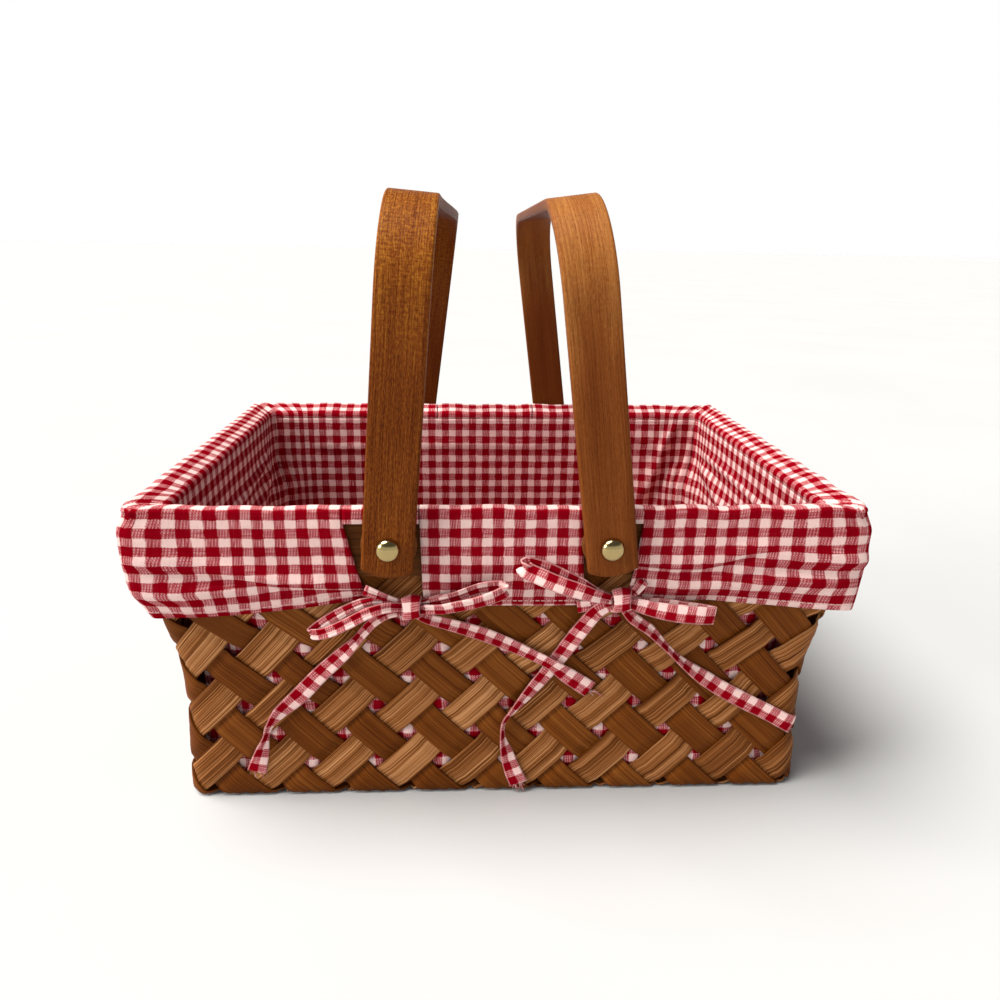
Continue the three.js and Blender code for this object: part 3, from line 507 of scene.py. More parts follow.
def wall_skin(s, t, depth):
    """Points on the wall: s along the foot's outline, t up from the rounded foot, depth in from the face."""
    flare = FLARE * smooth(t + EDGE_R, FLARE_FROM, FLARE_TO)
    spread = FOOT_SPREAD * (1 - smooth(t, 2, 48))
    alpha = np.clip(-t / EDGE_R, 0, math.pi / 2)
    under = np.maximum(-t - EDGE_ARC, 0)
    reach = np.where(t >= 0, flare, EDGE_R * (np.cos(alpha) - 1) - under)
    z = np.where(t >= 0, EDGE_R + t, EDGE_R * (1 - np.sin(alpha)))
    lean = np.where(t >= 0, -np.gradient(flare, axis=0) / np.maximum(np.gradient(t, axis=0), 1e-3), 0)
    out = np.where(t >= 0, 1.0, np.cos(alpha))
    up = np.where(t >= 0, np.clip(lean, -0.4, 0), -np.sin(alpha))
    length = np.hypot(out, up)
    out, up = out / length, up / length
    radius = mixed(FOOT_R, RIM_R, np.clip(reach / FLARE, 0, 1))
    radius = np.where(reach > 0, radius, np.maximum(FOOT_R + reach, EDGE_R))
    reach = reach + spread
    x, y, nx, ny = around(s / (STRIPS * PITCH), FOOT_W + reach, FOOT_D + reach, radius)
    return layered(x - nx * out * depth, y - ny * out * depth, z - up * depth)


def strip_faces(build, place, along, width, tone):
    """A thin strip as four faces; place turns along, across and depth into points."""
    across = np.array([-1, -0.96, -0.6, 0, 0.6, 0.96, 1]) * width / 2
    grid_along, grid_across = np.meshgrid(along, across, indexing="ij")
    crown = 0.12 * (2 * grid_across / width) ** 2 + 0.16 * np.abs(2 * grid_across / width) ** 12
    shift = rng.uniform(0, 400)
    uv = layered(grid_along + shift, grid_across + shift)
    # edge is 0 along the middle of a strip and 1 at its edges; the sides get 1 too, and the wood paints
    # shade, partly dirt, along it.
    edge = np.abs(2 * grid_across / width)
    outer = place(grid_along, grid_across, crown - STRIP_THICK / 2)
    inner = place(grid_along, grid_across, crown + STRIP_THICK / 2)
    build.grid(outer, uv, tone=tone, edge=edge)
    build.grid(inner, uv, flip=True, tone=tone, edge=edge)
    for end, turn in ((0, True), (-1, False)):
        side = np.stack([outer[:, end], inner[:, end]], axis=1)
        build.grid(side, uv[:, [end, end]], flip=turn, tone=tone, edge=1.0)


def over_under(along, sign):
    """Rise and fall of a strip over and under those it crosses."""
    wave = np.clip(3.0 * np.cos(math.pi * along / CROSSING), -1, 1)
    return sign * (0.5 * (WEAVE - STRIP_THICK) - 0.18) * np.sin(wave * math.pi / 2)


def weave_wall(direction):
    """The strips of all four walls that rise one way round; their lower ends are tucked under the base."""
    build = Build()
    s0, t0 = FIRST_CROSSING
    low, high = -EDGE_ARC - 15, BODY_TOP - EDGE_R
    root = math.sqrt(0.5)
    for k in range(STRIPS):
        width = STRIP_WIDTH + rng.uniform(-0.9, 0.9)
        aside = rng.uniform(-0.6, 0.6)
        tilt = rng.uniform(-0.006, 0.006)
        tone = float(np.clip(rng.normal(0.5, 0.2), 0, 1))
        along = np.arange((low - t0) / root - 8, (high - t0) / root + 8, CROSSING / 13)

        def place(a, c, depth):
            c = c + aside + tilt * a
            s = s0 + k * PITCH + root * (direction * a + c)
            t = t0 + root * (a - direction * c)
            t = np.clip(t, low, high)
            flatter = 1 - 0.8 * smooth(-t, EDGE_ARC - 1, EDGE_ARC + 6)
            rise = over_under(a, direction) * flatter
            tuck = 1.1 * smooth(-t, EDGE_ARC - 1, EDGE_ARC + 5)
            return wall_skin(s, t, WEAVE / 2 - rise + depth + tuck)

        strip_faces(build, place, along, width, tone)
    return build


def weave_base():
    """The strips of the base, cut at the rounded foot."""
    build = Build()
    half_w, half_d = FOOT_W - EDGE_R - 3, FOOT_D - EDGE_R - 3
    root = math.sqrt(0.5)
    for direction in (1, -1):
        for k in range(-9, 10):
            c0 = k * CROSSING + (0 if direction == 1 else CROSSING / 2)
            middle = np.array([root * c0, -direction * root * c0])
            way = np.array([root, direction * root])
            limits = []
            for m, w, h in zip(middle, way, (half_w, half_d)):
                limits.append(sorted(((-h - m) / w, (h - m) / w)))
            start, stop = max(limits[0][0], limits[1][0]), min(limits[0][1], limits[1][1])
            if stop - start < 12:
                continue
            along = np.arange(start, stop, CROSSING / 6)
            tone = float(np.clip(rng.normal(0.45, 0.2), 0, 1))

            def place(a, c, depth):
                x = middle[0] + way[0] * a + root * c
                y = middle[1] + way[1] * a - direction * root * c
                turns = a / CROSSING + (k if direction == 1 else k + 0.5)
                wave = np.clip(1.6 * np.cos(math.pi * turns), -1, 1)
                z = 0.95 - direction * 0.42 * wave + 0.8 * depth
                return layered(np.clip(x, -half_w, half_w), np.clip(y, -half_d, half_d), z)

            strip_faces(build, place, along, STRIP_WIDTH, tone)
    return build


dress(weave_wall(1).object("plaited_strips_rising", up_wood), "basket", "strip_wood", "woven_body")
dress(weave_wall(-1).object("plaited_strips_falling", down_wood), "basket", "strip_wood", "woven_body")
dress(weave_base().object("plaited_base", down_wood), "basket", "strip_wood", "woven_body")

# Rim bands, washers and nails keep their own shape
for name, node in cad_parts.items():
    if name.startswith(("rim_outer", "rim_inner")):
        finish = band_wood
    elif name.startswith("rim_nail"):
        finish = steel
    elif name.startswith("rivet_washer"):
        finish = brass
    else:
        continue
    node.data.materials.clear()
    node.data.materials.append(finish)


# Handles

def arch_path():
    """Middle of the bent strip from foot to foot, as depth and height, and the way out of the wood."""
    middle = HANDLE_IN + HANDLE_T / 2
    bend = HANDLE_BEND - HANDLE_T / 2
    centre, rise = HANDLE_IN + HANDLE_T - HANDLE_BEND, HANDLE_REACH - HANDLE_BEND
    tip = HANDLE_TIP - HANDLE_TAIL
    leg = np.concatenate([np.linspace(-HANDLE_TAIL, tip, 8)[:-1], np.linspace(tip, rise, 24)])
    turn = np.linspace(0, math.pi / 2, 20)
    bar = np.linspace(centre, -centre, 24)
    y = np.concatenate([-middle + 0 * leg, -centre - bend * np.cos(turn[1:]), -bar[1:]])
    z = np.concatenate([leg, rise + bend * np.sin(turn[1:]), rise + bend + 0 * bar[1:]])
    out_y = np.concatenate([-1 + 0 * leg, -np.cos(turn[1:]), 0 * bar[1:]])
    out_z = np.concatenate([0 * leg, np.sin(turn[1:]), 1 + 0 * bar[1:]])
    back = slice(-25, None, -1)
    y = np.concatenate([y, -y[back]])
    z = np.concatenate([z, z[back]])
    out_y = np.concatenate([out_y, -out_y[back]])
    out_z = np.concatenate([out_z, out_z[back]])
    return y, z, out_y, out_z


def handle_mesh(side):
    """A bent handle with rounded edges and feet, leaning as at rest."""
    y, z, out_y, out_z = arch_path()
    length = np.concatenate([[0], np.cumsum(np.hypot(np.diff(y), np.diff(z)))])
    half_w, half_t = HANDLE_W / 2 - HANDLE_EDGE, HANDLE_T / 2 - HANDLE_EDGE
    section = []
    for sx, sn, start in ((1, 1, 0), (-1, 1, math.pi / 2), (-1, -1, math.pi), (1, -1, 1.5 * math.pi)):
        for turn in start + np.linspace(0, math.pi / 2, 5):
            x, n = HANDLE_EDGE * math.cos(turn), HANDLE_EDGE * math.sin(turn)
            section.append((sx * half_w + x, sn * half_t + n))
        if sx == sn:
            section += [(x, sn * HANDLE_T / 2) for x in np.linspace(sx * half_w, -sx * half_w, 10)[1:-1]]
    section.append(section[0])
    section = np.array(section)
    across, thick = section[:, 0], section[:, 1]
    rows = []
    bow = HANDLE_CROWN * (across / (HANDLE_W / 2)) ** 2
    fade = np.clip(1 - np.minimum(length, length[-1] - length) / HANDLE_TIP, 0, 1)[:, None]
    for i in range(len(y)):
        rows.append(layered(across, y[i] + out_y[i] * thick, z[i] + out_z[i] * thick + fade[i] * bow))
    points = np.array(rows)
    round_edge = points[[0, -1]].copy()
    for end, tip in ((0, round_edge[0]), (-1, round_edge[1])):
        middle_y = y[end]
        tip[:, 1] = middle_y + (tip[:, 1] - middle_y) * 0.72
        tip[:, 0] *= 0.975
        tip[:, 2] -= 0.55
    caps = [layered(tip[:, 0] * 0.3, tip[:, 1].mean(), tip[:, 2] + 0.02) for tip in round_edge]
    points = np.concatenate([[caps[0], round_edge[0]], points, [round_edge[1], caps[1]]])
    length = np.concatenate([[-1.5, -0.5], length, [length[-1] + 0.5, length[-1] + 1.5]])
    girth = np.concatenate([[0], np.cumsum(np.linalg.norm(np.diff(section, axis=0), axis=1))])
    uv = np.stack(np.meshgrid(length + (0 if side == "left" else 700), girth, indexing="ij"), axis=-1)
    half = length.mean()
    bend = smooth(70 - np.abs(np.abs(length - half) - 118), 0, 60)[:, None] * np.ones(len(girth))
    build = Build()
    # bend carries the ripple of the bends and their painted light; inner carries the painted shade of the
    # inner face.
    build.grid(points, uv, bend=bend, inner=smooth(-thick, 0, 2)[None, :])
    flat = HANDLE_IN + HANDLE_T - HANDLE_BEND

    def moved(p):
        lean = LEANS[side] + TWISTS[side] * smooth(p[:, 1], -flat, flat)
        x = p[:, 0] * np.cos(lean) + p[:, 2] * np.sin(lean) + PIVOTS[side]
        z = p[:, 2] * np.cos(lean) - p[:, 0] * np.sin(lean) + PIVOT_Z
        return layered(x, p[:, 1], z)

    return build.object(side + "_handle_bent_wood", handle_woods[side], moved)


for side in ("left", "right"):
    dress(handle_mesh(side), side + "_handle", side + "_handle_wood", side + "_handle")


# Pivots: rivets and spacers

# Rows of [radius, out from the weave], from the tail inside to the head, and round a spacer
DOME = [(5.4 * math.cos(a), 13.6 + 3.55 * math.sin(a)) for a in np.linspace(0, math.pi / 2, 14)[:-1]]
TAIL = [(0.02, -8.2), (3.4, -8.2), (3.5, -8.0), (3.5, -6.8), (2.0, -6.8)]
RIVET = [*TAIL, (2.0, 13.2), (5.3, 13.2), (5.4, 13.3), *DOME, (0.02, 17.15)]
RING = [(2.3, 3.6), (11.8, 3.6), (12.3, 3.8), (SPACER_R, 4.2)]
SPACER = [*RING, (SPACER_R, 7.0), (12.3, 7.4), (11.8, 7.6), (2.3, 7.6), (2.3, 3.6)]
PIVOT_PIECES = (("rivet", RIVET, brass, "brass"), ("spacer", SPACER, spacer_wood, "band_wood"))
for place, out in (("front", -1), ("back", 1)):
    for side in ("left", "right"):
        centre = (PIVOTS[side], out * RIM_D, PIVOT_Z)
        for kind, profile, finish, slot in PIVOT_PIECES:
            build = Build()
            lathe(build, profile, centre, (0, out, 0))
            node = f"{kind}_{place}_{side}"
            dress(build.object(node + "_turned", finish), "basket", slot, node)


# Liner panels

RIM_LOOP = 4 * (RIM_W - RIM_R + RIM_D - RIM_R + RIM_R * math.pi / 2)
CORNER_ARC = RIM_R * math.pi / 2
FRONT_END = RIM_W - RIM_R
SIDE_RUN = 2 * (RIM_D - RIM_R)
CORNERS = np.array([FRONT_END + CORNER_ARC / 2, FRONT_END + 1.5 * CORNER_ARC + SIDE_RUN])
CORNERS = np.concatenate([CORNERS, RIM_LOOP - CORNERS[::-1]])


def rim_place(a):
    """Place and outward direction on the weave's face, a along the rim from the middle of the front."""
    return around(np.asarray(a, float) / RIM_LOOP, RIM_W, RIM_D, RIM_R)


def rim_layer(a, out, out_ends=None):
    """Places of a layer that lies out from the rim's outline and turns the corners at the same radius."""
    x, y, nx, ny = rim_place(a)
    to_end = np.where(np.abs(ny) > 0.999, smooth(np.abs(x), FRONT_END - 40, FRONT_END), 1.0)
    to_front = np.where(np.abs(nx) > 0.999, smooth(np.abs(y), SIDE_RUN / 2 - 40, SIDE_RUN / 2), 1.0)
    out_ends = out if out_ends is None else out_ends
    return x + np.sign(x) * to_end * out_ends, y + np.sign(y) * to_front * out


def corner_off(a):
    """Distance along the rim to the nearest corner."""
    a = np.asarray(a, float)
    return np.min(np.abs((a[..., None] - CORNERS + RIM_LOOP / 2) % RIM_LOOP - RIM_LOOP / 2), axis=-1)


# Where white stripes stand along the rim, and how many checks lie between them
CHECK_PLACES = [2.5, 108.8, 552.6, 970.7, RIM_LOOP + 2.5]
CHECK_COUNTS = [0, 11, 57, 100, 113]


def cloth_along(a):
    """Place along the cloth's checks for a place along the rim."""
    turns = np.floor((np.asarray(a, float) - CHECK_PLACES[0]) / RIM_LOOP)
    return CHECK_U * (np.interp(a - turns * RIM_LOOP, CHECK_PLACES, CHECK_COUNTS) + CHECK_COUNTS[-1] * turns)


def tension(x, z, line, width, lift):
    """A soft ridge with a hollow below it along a line of [x, z] points, dying out at both ends."""
    line = np.asarray(line, float)
    best = np.full(x.shape, 1e9)
    side = np.zeros(x.shape)
    place = np.zeros(x.shape)
    lengths = np.concatenate([[0], np.cumsum(np.hypot(*np.diff(line, axis=0).T))])
    for i in range(len(line) - 1):
        d = line[i + 1] - line[i]
        t = np.clip(((x - line[i, 0]) * d[0] + (z - line[i, 1]) * d[1]) / (d @ d), 0, 1)
        dx, dz = x - line[i, 0] - t * d[0], z - line[i, 1] - t * d[1]
        away = np.hypot(dx, dz)
        closer = away < best
        best = np.where(closer, away, best)
        side = np.where(closer, np.sign(d[0] * dz - d[1] * dx) * np.sign(d[0] + 1e-9), side)
        place = np.where(closer, lengths[i] + t * (lengths[i + 1] - lengths[i]), place)
    off = side * best / width
    end = smooth(place, 0, 0.25 * lengths[-1]) * smooth(lengths[-1] - place, 0, 0.2 * lengths[-1])
    return lift * end * (np.exp(-((off - 0.35) ** 2)) - 0.75 * np.exp(-((off + 1.05) ** 2)))


# The cloth's way over the rim, as out and height, from the seam inside to the shoulder outside
SHOULDER = 1.8
TURN = np.linspace(0, math.pi / 2, 5)
OVER_RIM = np.concatenate([
    [(LIP_IN, LIP_FOOT), (LIP_IN, 151.4), (LIP_IN, 152.6), (LIP_IN + 0.35, 153.6), (LIP_IN + 1.3, 154.4)],
    layered(np.linspace(-6.4, 0.6, 6), np.linspace(155.0, 157.7, 6)),
    [(2.0, 157.95)],
    np.array([CUFF_OUT, CUFF_TOP]) - SHOULDER + SHOULDER * layered(np.sin(TURN), np.cos(TURN)),
])
RIM_STEPS = np.hypot(*np.diff(OVER_RIM, axis=0).T)
EDGE_DOWN = 2.6  # where the shoulder lies on the cloth, down from a row of checks
SEAM_DOWN = EDGE_DOWN - RIM_STEPS.sum()  # and the seam inside

# Folds of the liner: rows of [along the wall, height], width and lift, with the hollow below the line
LINER_FOLDS = {
    "back": [
        ([(154, 156), (145, 142.6), (136, 127.5), (125, 106), (112, 84)], 6.5, 3.6),
        ([(90, 136), (120, 131), (140, 122)], 7.0, 1.6),
        ([(-150, 135), (-120, 128), (-80, 127), (-20, 129), (60, 128)], 4.5, 1.2),
    ],
    "right": [
        ([(104, 131), (82, 129.6), (44, 129.4), (5, 129), (-30, 127), (-70, 128)], 3.4, 1.6),
        ([(98, 122), (60, 112), (10, 96)], 8.0, 2.6),
    ],
    "left": [
        ([(100, 132), (79, 129.5), (65, 123), (9, 117), (-60, 122)], 4.0, 2.2),
        ([(98, 120), (60, 100), (20, 84)], 8.0, 2.6),
    ],
    "front": [([(-140, 130), (0, 127), (140, 130)], 5.0, 1.2)],
}
CORNER_CUT = 7.0  # how far the liner stays out of the corners below the bands


def wall_out(z):
    """How far the weave's face lies out of the rim's outline at a height."""
    return FOOT_SPREAD * (1 - smooth(z - EDGE_R, 2, 48)) - FLARE * (1 - smooth(z, FLARE_FROM, FLARE_TO))


# Where the middle of each wall lies along the plaiting, in walls, and the way the plaiting runs there
WALLS = {"front": (0, 1), "right": (0.25, 1), "back": (0.5, -1), "left": (0.75, -1)}


def in_gaps(side, along, z):
    """1 at the middle of a gap of the plaiting, falling to 0 at the strips."""
    reach = FLARE + wall_out(z)
    radius = mixed(FOOT_R, RIM_R, np.clip(reach / FLARE, 0, 1))
    loop = 4 * (FOOT_W + FOOT_D + 2 * reach - 2 * radius + radius * math.pi / 2)
    middle, turn = WALLS[side]
    s = STRIPS * PITCH * (middle + turn * along / loop) - FIRST_CROSSING[0]
    t = z - EDGE_R - FIRST_CROSSING[1]
    step = 2 * math.pi / PITCH
    return smooth(-np.cos(step * s) * np.cos(step * t), 0.55, 0.99)


def liner_wall(side, start, stop):
    """A wall of the liner, from the seam over the inner band and close to the weave down to the base."""
    a = np.linspace(start, stop, int((stop - start) / 1.5) + 2)
    z = np.concatenate([np.linspace(LIP_FOOT - 0.15, 14, 92), [11, 8.2, 6.4, 5.4]])
    grid_a, grid_z = np.meshgrid(a, z, indexing="ij")
    x, y, nx, ny = rim_place(grid_a)
    along = x if side in ("front", "back") else y
    off = corner_off(grid_a)
    weave = wall_out(grid_z) - WEAVE - 0.9
    dimple = 1.4 if side == "front" else 0.9
    weave = weave + dimple * in_gaps(side, along, grid_z) * smooth(off, 40, 52) * smooth(grid_z, 8, 14)
    close = smooth(off, 10, 46) if side == "front" else 0
    deep = mixed(weave, LIP_IN, mixed(smooth(grid_z, 40, 100), smooth(grid_z, 114, 126), close))
    deep = deep - 3.2 * np.clip((12 - grid_z) / 6.6, 0, 1) ** 1.5
    slack = CORNER_CUT * np.clip(1 - off / 52, 0, 1) ** 2
    slack = slack * smooth(126 - grid_z, 0, 28) * smooth(grid_z, 5, 45)
    for line, width, lift in LINER_FOLDS[side]:
        slack = slack + tension(along, grid_z, line, width, lift)
    gather = np.exp(-((off / 13) ** 2)) * np.sin(off * 0.75 + grid_z * 0.045) * smooth(grid_z, 30, 140)
    slack = slack + (1.3 * gather + 0.6 * wobble(grid_a, grid_z, 5, 16)) * smooth(grid_z, 8, 30)
    slack = np.maximum(slack, 0) * (1 - smooth(grid_z, 140, LIP_FOOT))
    x, y = rim_layer(grid_a, deep - slack)
    down = SEAM_DOWN - (LIP_FOOT - grid_z) * CHECK_V / 9.4
    build = Build()
    build.grid(layered(x, y, grid_z), layered(cloth_along(grid_a), down), hem=1.0)
    panel = build.object(f"liner_{side}_wall_cloth", liner_cloth)
    thicken(panel, CLOTH)
    dress(panel, "basket", "gingham", f"liner_{side}_wall")


for side, start, stop in (
    ("front", CORNERS[3] - RIM_LOOP, CORNERS[0]),
    ("right", CORNERS[0], CORNERS[1]),
    ("back", CORNERS[1], CORNERS[2]),
    ("left", CORNERS[2], CORNERS[3]),
):
    liner_wall(side, start + 0.1, stop - 0.1)

BASE_W, BASE_D = 151.6, 103.2
base_axes = np.linspace(-BASE_W, BASE_W, 74), np.linspace(-BASE_D, BASE_D, 50)
base_x, base_y = np.meshgrid(*base_axes, indexing="ij")
pull = 1 - 0.012 * (np.abs(base_x) / BASE_W) ** 6 * (np.abs(base_y) / BASE_D) ** 6
base_z = 4.0 + 0.35 * wobble(base_x, base_y, 9, 22)
base = Build()
base.grid(layered(base_x * pull, base_y * pull, base_z), layered(base_x, base_y), hem=1.0)
base = base.object("liner_base_cloth", liner_cloth)
thicken(base, CLOTH)
dress(base, "basket", "gingham", "liner_base")


# Cuffs: their folds as for the liner, and the front hem as rows of [along the front, height]

FRONT_FOLDS = [
    (
        [(-166, 132), (-143, 130.3), (-129, 128.7), (-116, 125.7), (-101, 122), (-85, 120.3), (-68, 118)],
        3.4,
        1.9,
    ),
    ([(-167, 115.5), (-153, 114), (-135, 116.5), (-117, 117.7), (-96, 119.5)], 3.6, 1.3),
    ([(-70, 146), (-92, 141), (-118, 141)], 7.0, 0.5),
    ([(64, 131), (78, 129.5), (92, 129.5), (103, 132.5), (112, 136), (128, 139)], 3.6, 1.7),
    ([(98, 122), (111, 128), (125, 132.4), (144, 131.4), (159, 129.8), (168, 128)], 3.8, 1.6),
    ([(66, 118), (96, 117), (128, 121), (160, 118)], 4.6, 1.2),
    ([(-34, 122), (-8, 130), (14, 131)], 6.0, 0.8),
    ([(40, 122), (24, 126), (6, 121)], 5.0, 0.8),
]
BACK_FOLDS = [([(-x - 4, z) for x, z in line], w, k) for line, w, k in FRONT_FOLDS]
END_FOLDS = [
    ([(-98, 139), (-60, 132), (-20, 124), (20, 122)], 5.0, 1.3),
    ([(98, 143), (64, 129), (30, 117)], 5.0, 1.4),
    ([(-90, 123), (-55, 118), (-15, 114)], 4.6, 1.1),
    ([(88, 117), (50, 123), (12, 136)], 5.0, 0.9),
]


def folds(x, y, nx, ny, z):
    """How far the main folds push the cloth out of its plain fall."""
    total = np.zeros(x.shape)
    for line, width, lift in FRONT_FOLDS:
        total = total + tension(x, z, line, width, lift) * (ny < -0.5)
    for line, width, lift in BACK_FOLDS:
        total = total + tension(x, z, line, width, lift) * (ny > 0.5)
    for sign in (-1, 1):
        for line, width, lift in END_FOLDS:
            total = total + tension(sign * y, z, line, width, lift) * (sign * nx > 0.7)
    return total


FRONT_HEM = np.array([
    (-166, 102.8), (-138, 103.7), (-116, 105.6), (-93, 108.4), (-74, 112.3), (-61, 114.3),
    (-36, 111.0), (-24, 108.8), (37, 109.0), (64, 112.3), (84, 110.6), (99, 110.8),
    (122, 108.8), (142, 107.0), (168, 105.4),
]).T


def hem_height(a):
    """Height of the hem along the rim: drawn up beside the ties, low at the corners."""
    x, y, nx, ny = rim_place(a)
    front = np.interp(x, *FRONT_HEM)
    back = np.interp(-x, *FRONT_HEM) + 0.4
    at_front, at_back = np.where(x > 0, 105.4, 102.8), np.where(x > 0, 103.3, 105.8)
    side = mixed(at_front, at_back, (y / RIM_D + 1) / 2) + 4.0 * (1 - (y / RIM_D) ** 2)
    return np.where(ny < -0.5, front, np.where(ny > 0.5, back, side))


# The main crease of each front flap takes up cloth, so the rows below it follow the hem
CREASES = [
    ([-170, -143, -129, -116, -101, -85, -60], [132.5, 130.3, 128.7, 125.7, 122.0, 120.3, 117.5], 103.5),
    ([62, 78, 92, 103, 112, 128, 150], [131.0, 129.5, 129.5, 132.5, 136.0, 139.0, 140.0], 106.5),
]


def taken_up(x, z, hem):
    """Cloth hidden in the creases of the front flaps, above a place below them."""
    total = 0
    for xs, zs, lowest in CREASES:
        line = np.interp(x, xs, zs)
        on = smooth(x, xs[0] - 1, xs[0]) * (1 - smooth(x, xs[-1], xs[-1] + 1))
        total = total + on * np.maximum(hem - lowest, 0) * smooth(line - z, -0.6, 1.6)
    return total


def cuff_grid(build, a, slide_by, lip=None):
    """Cloth from the seam inside, over the rim and down outside to the hem, for places a along the rim."""
    fall, head = 44, len(OVER_RIM)
    hem = (hem_height(a) if lip is None else lip)[:, None]
    steps = np.linspace(0, 1, fall + 1)[1:]
    edge = OVER_RIM[-1, 1]
    n = np.broadcast_to(np.concatenate([OVER_RIM[:, 0], np.full(fall, CUFF_OUT)]), (len(a), head + fall))
    z = np.concatenate([np.broadcast_to(OVER_RIM[:, 1], (len(a), head)), edge - (edge - hem) * steps], axis=1)
    over_rim = np.broadcast_to(SEAM_DOWN + np.cumsum([0, *RIM_STEPS]), (len(a), head))
    down = np.concatenate([over_rim, EDGE_DOWN + (edge - hem) * steps], axis=1)
    grid_a = np.broadcast_to(a[:, None], n.shape)
    outside = np.arange(n.shape[1]) >= head
    x, y, nx, ny = rim_place(grid_a)
    off = corner_off(grid_a)
    wide = np.exp(-((off / 20.0) ** 2))
    low = np.clip((hem + 19 - z) / 19, 0, 1)
    out = out_ends = n
    hidden = 0
    if lip is None:
        push = folds(x, y, nx, ny, z) * smooth(157 - z, 2, 14)
        push = push + 0.3 * wobble(grid_a, z, 3, 9) * smooth(157 - z, 4, 22)
        push = push - mixed(4.4, np.where(x < 0, 7.2, 1.2), wide) * low**2
        swell = wide * smooth(157 - z, 0, 12) * (1 - 0.35 * smooth(135 - z, 0, 20))
        crease = 0.25 * np.sin(off * 1.2 + 0.05 * z) * np.exp(-((off / 14) ** 2)) * smooth(z, 112, 150)
        corner = np.exp(-((off / 10) ** 2))
        least = np.where(z > 122, 4.6 - 0.7 * corner, 0.2)
        most = np.where(z > 126, 6.2, 6.8)
        out = np.where(outside, np.clip(n + push + 0.5 * swell + crease - 1.7 * corner, least, most), n)
        out_ends = np.where(outside, np.clip(n + push + 3.9 * swell + crease, least, 10.0), n)
        hidden = taken_up(x, z, hem) * (ny < -0.5)
    over = np.concatenate([[0, 0, 0.2, 0.5, 0.8], np.ones(head - 5), np.clip(1 - steps * 5, 0, 1)])
    gather = np.exp(-((off / 8) ** 2)) * np.sin(off * 1.5)
    z = z + over * (0.5 * wobble(grid_a, 0 * z, 21, 7) + 0.9 * gather)
    slide = slide_by(grid_a) * np.clip((LIP_HEM - z) / (LIP_HEM - NOTCH_FOOT), 0, 1)
    x, y = rim_layer(grid_a + slide, out, out_ends)
    uv = layered(cloth_along(grid_a) + slide * 0.5, down + hidden)
    to_hem = (down[:, -1:] - down) * MM + (0 if lip is None else 1)
    build.grid(layered(x, y, z), uv, hem=to_hem)


def cuff(name, start, stop, slant, lips=()):
    """A cuff from notch edge to notch edge; slant is how far each edge moves along by the hem."""

    def slide_by(a):
        near_start = np.clip(1 - (a - start) / NOTCH_RUN, 0, 1)
        near_stop = np.clip(1 - (stop - a) / NOTCH_RUN, 0, 1)
        return slant[0] * near_start + slant[1] * near_stop

    build = Build()
    cuff_grid(build, np.linspace(start, stop, int((stop - start) / 1.7) + 2), slide_by)
    for low, high, pivot in lips:
        run = np.linspace(low, high, 24)
        round_spacer = PIVOT_Z + np.sqrt(np.maximum((SPACER_R + 0.5) ** 2 - (run - pivot) ** 2, 0))
        cuff_grid(build, run, np.zeros_like, np.maximum(LIP_HEM, round_spacer))
    piece = build.object(name + "_cloth", liner_cloth)
    thicken(piece, CLOTH)
    return dress(piece, "basket", "gingham", name)


def back_place(x):
    """Distance along the rim of a place on the back."""
    return FRONT_END + 2 * CORNER_ARC + SIDE_RUN + FRONT_END - x


# Notch edges from their pivot at the lip, and how far they slant by the hem
L, R = PIVOTS["left"], PIVOTS["right"]
LEFT_NOTCH, RIGHT_NOTCH, BACK_NOTCH = (-20.1, 13.7), (-12.1, 15.1), (-15.5, 15.5)
SLANT = 6.0
front_l, front_r = [(L + LEFT_NOTCH[0], L + LEFT_NOTCH[1]), (R + RIGHT_NOTCH[0], R + RIGHT_NOTCH[1])]
back_l, back_r = [(back_place(p + BACK_NOTCH[1]), back_place(p + BACK_NOTCH[0])) for p in (L, R)]
right_lips = [(front_r[0] + 0.5, front_r[1], R), (back_r[0], back_r[1] - 0.5, back_place(R))]
left_lips = [
    (back_l[0] + 0.5, back_l[1], back_place(L)),
    (front_l[0] + RIM_LOOP, front_l[1] + RIM_LOOP - 0.5, RIM_LOOP + L),
]
pieces = [
    (cuff("right_end_cuff", front_r[1], back_r[0], (-5.0, SLANT), right_lips), 0.430),
    (cuff("left_end_cuff", back_l[1], RIM_LOOP + front_l[0], (-SLANT, 9.8), left_lips), 0.425),
    (cuff("front_centre_cuff", front_l[1], front_r[0], (1.1, 1.9)), 0.074),
    (cuff("back_centre_cuff", back_r[1], back_l[0], (-SLANT, SLANT)), 0.069),
]


# Bows

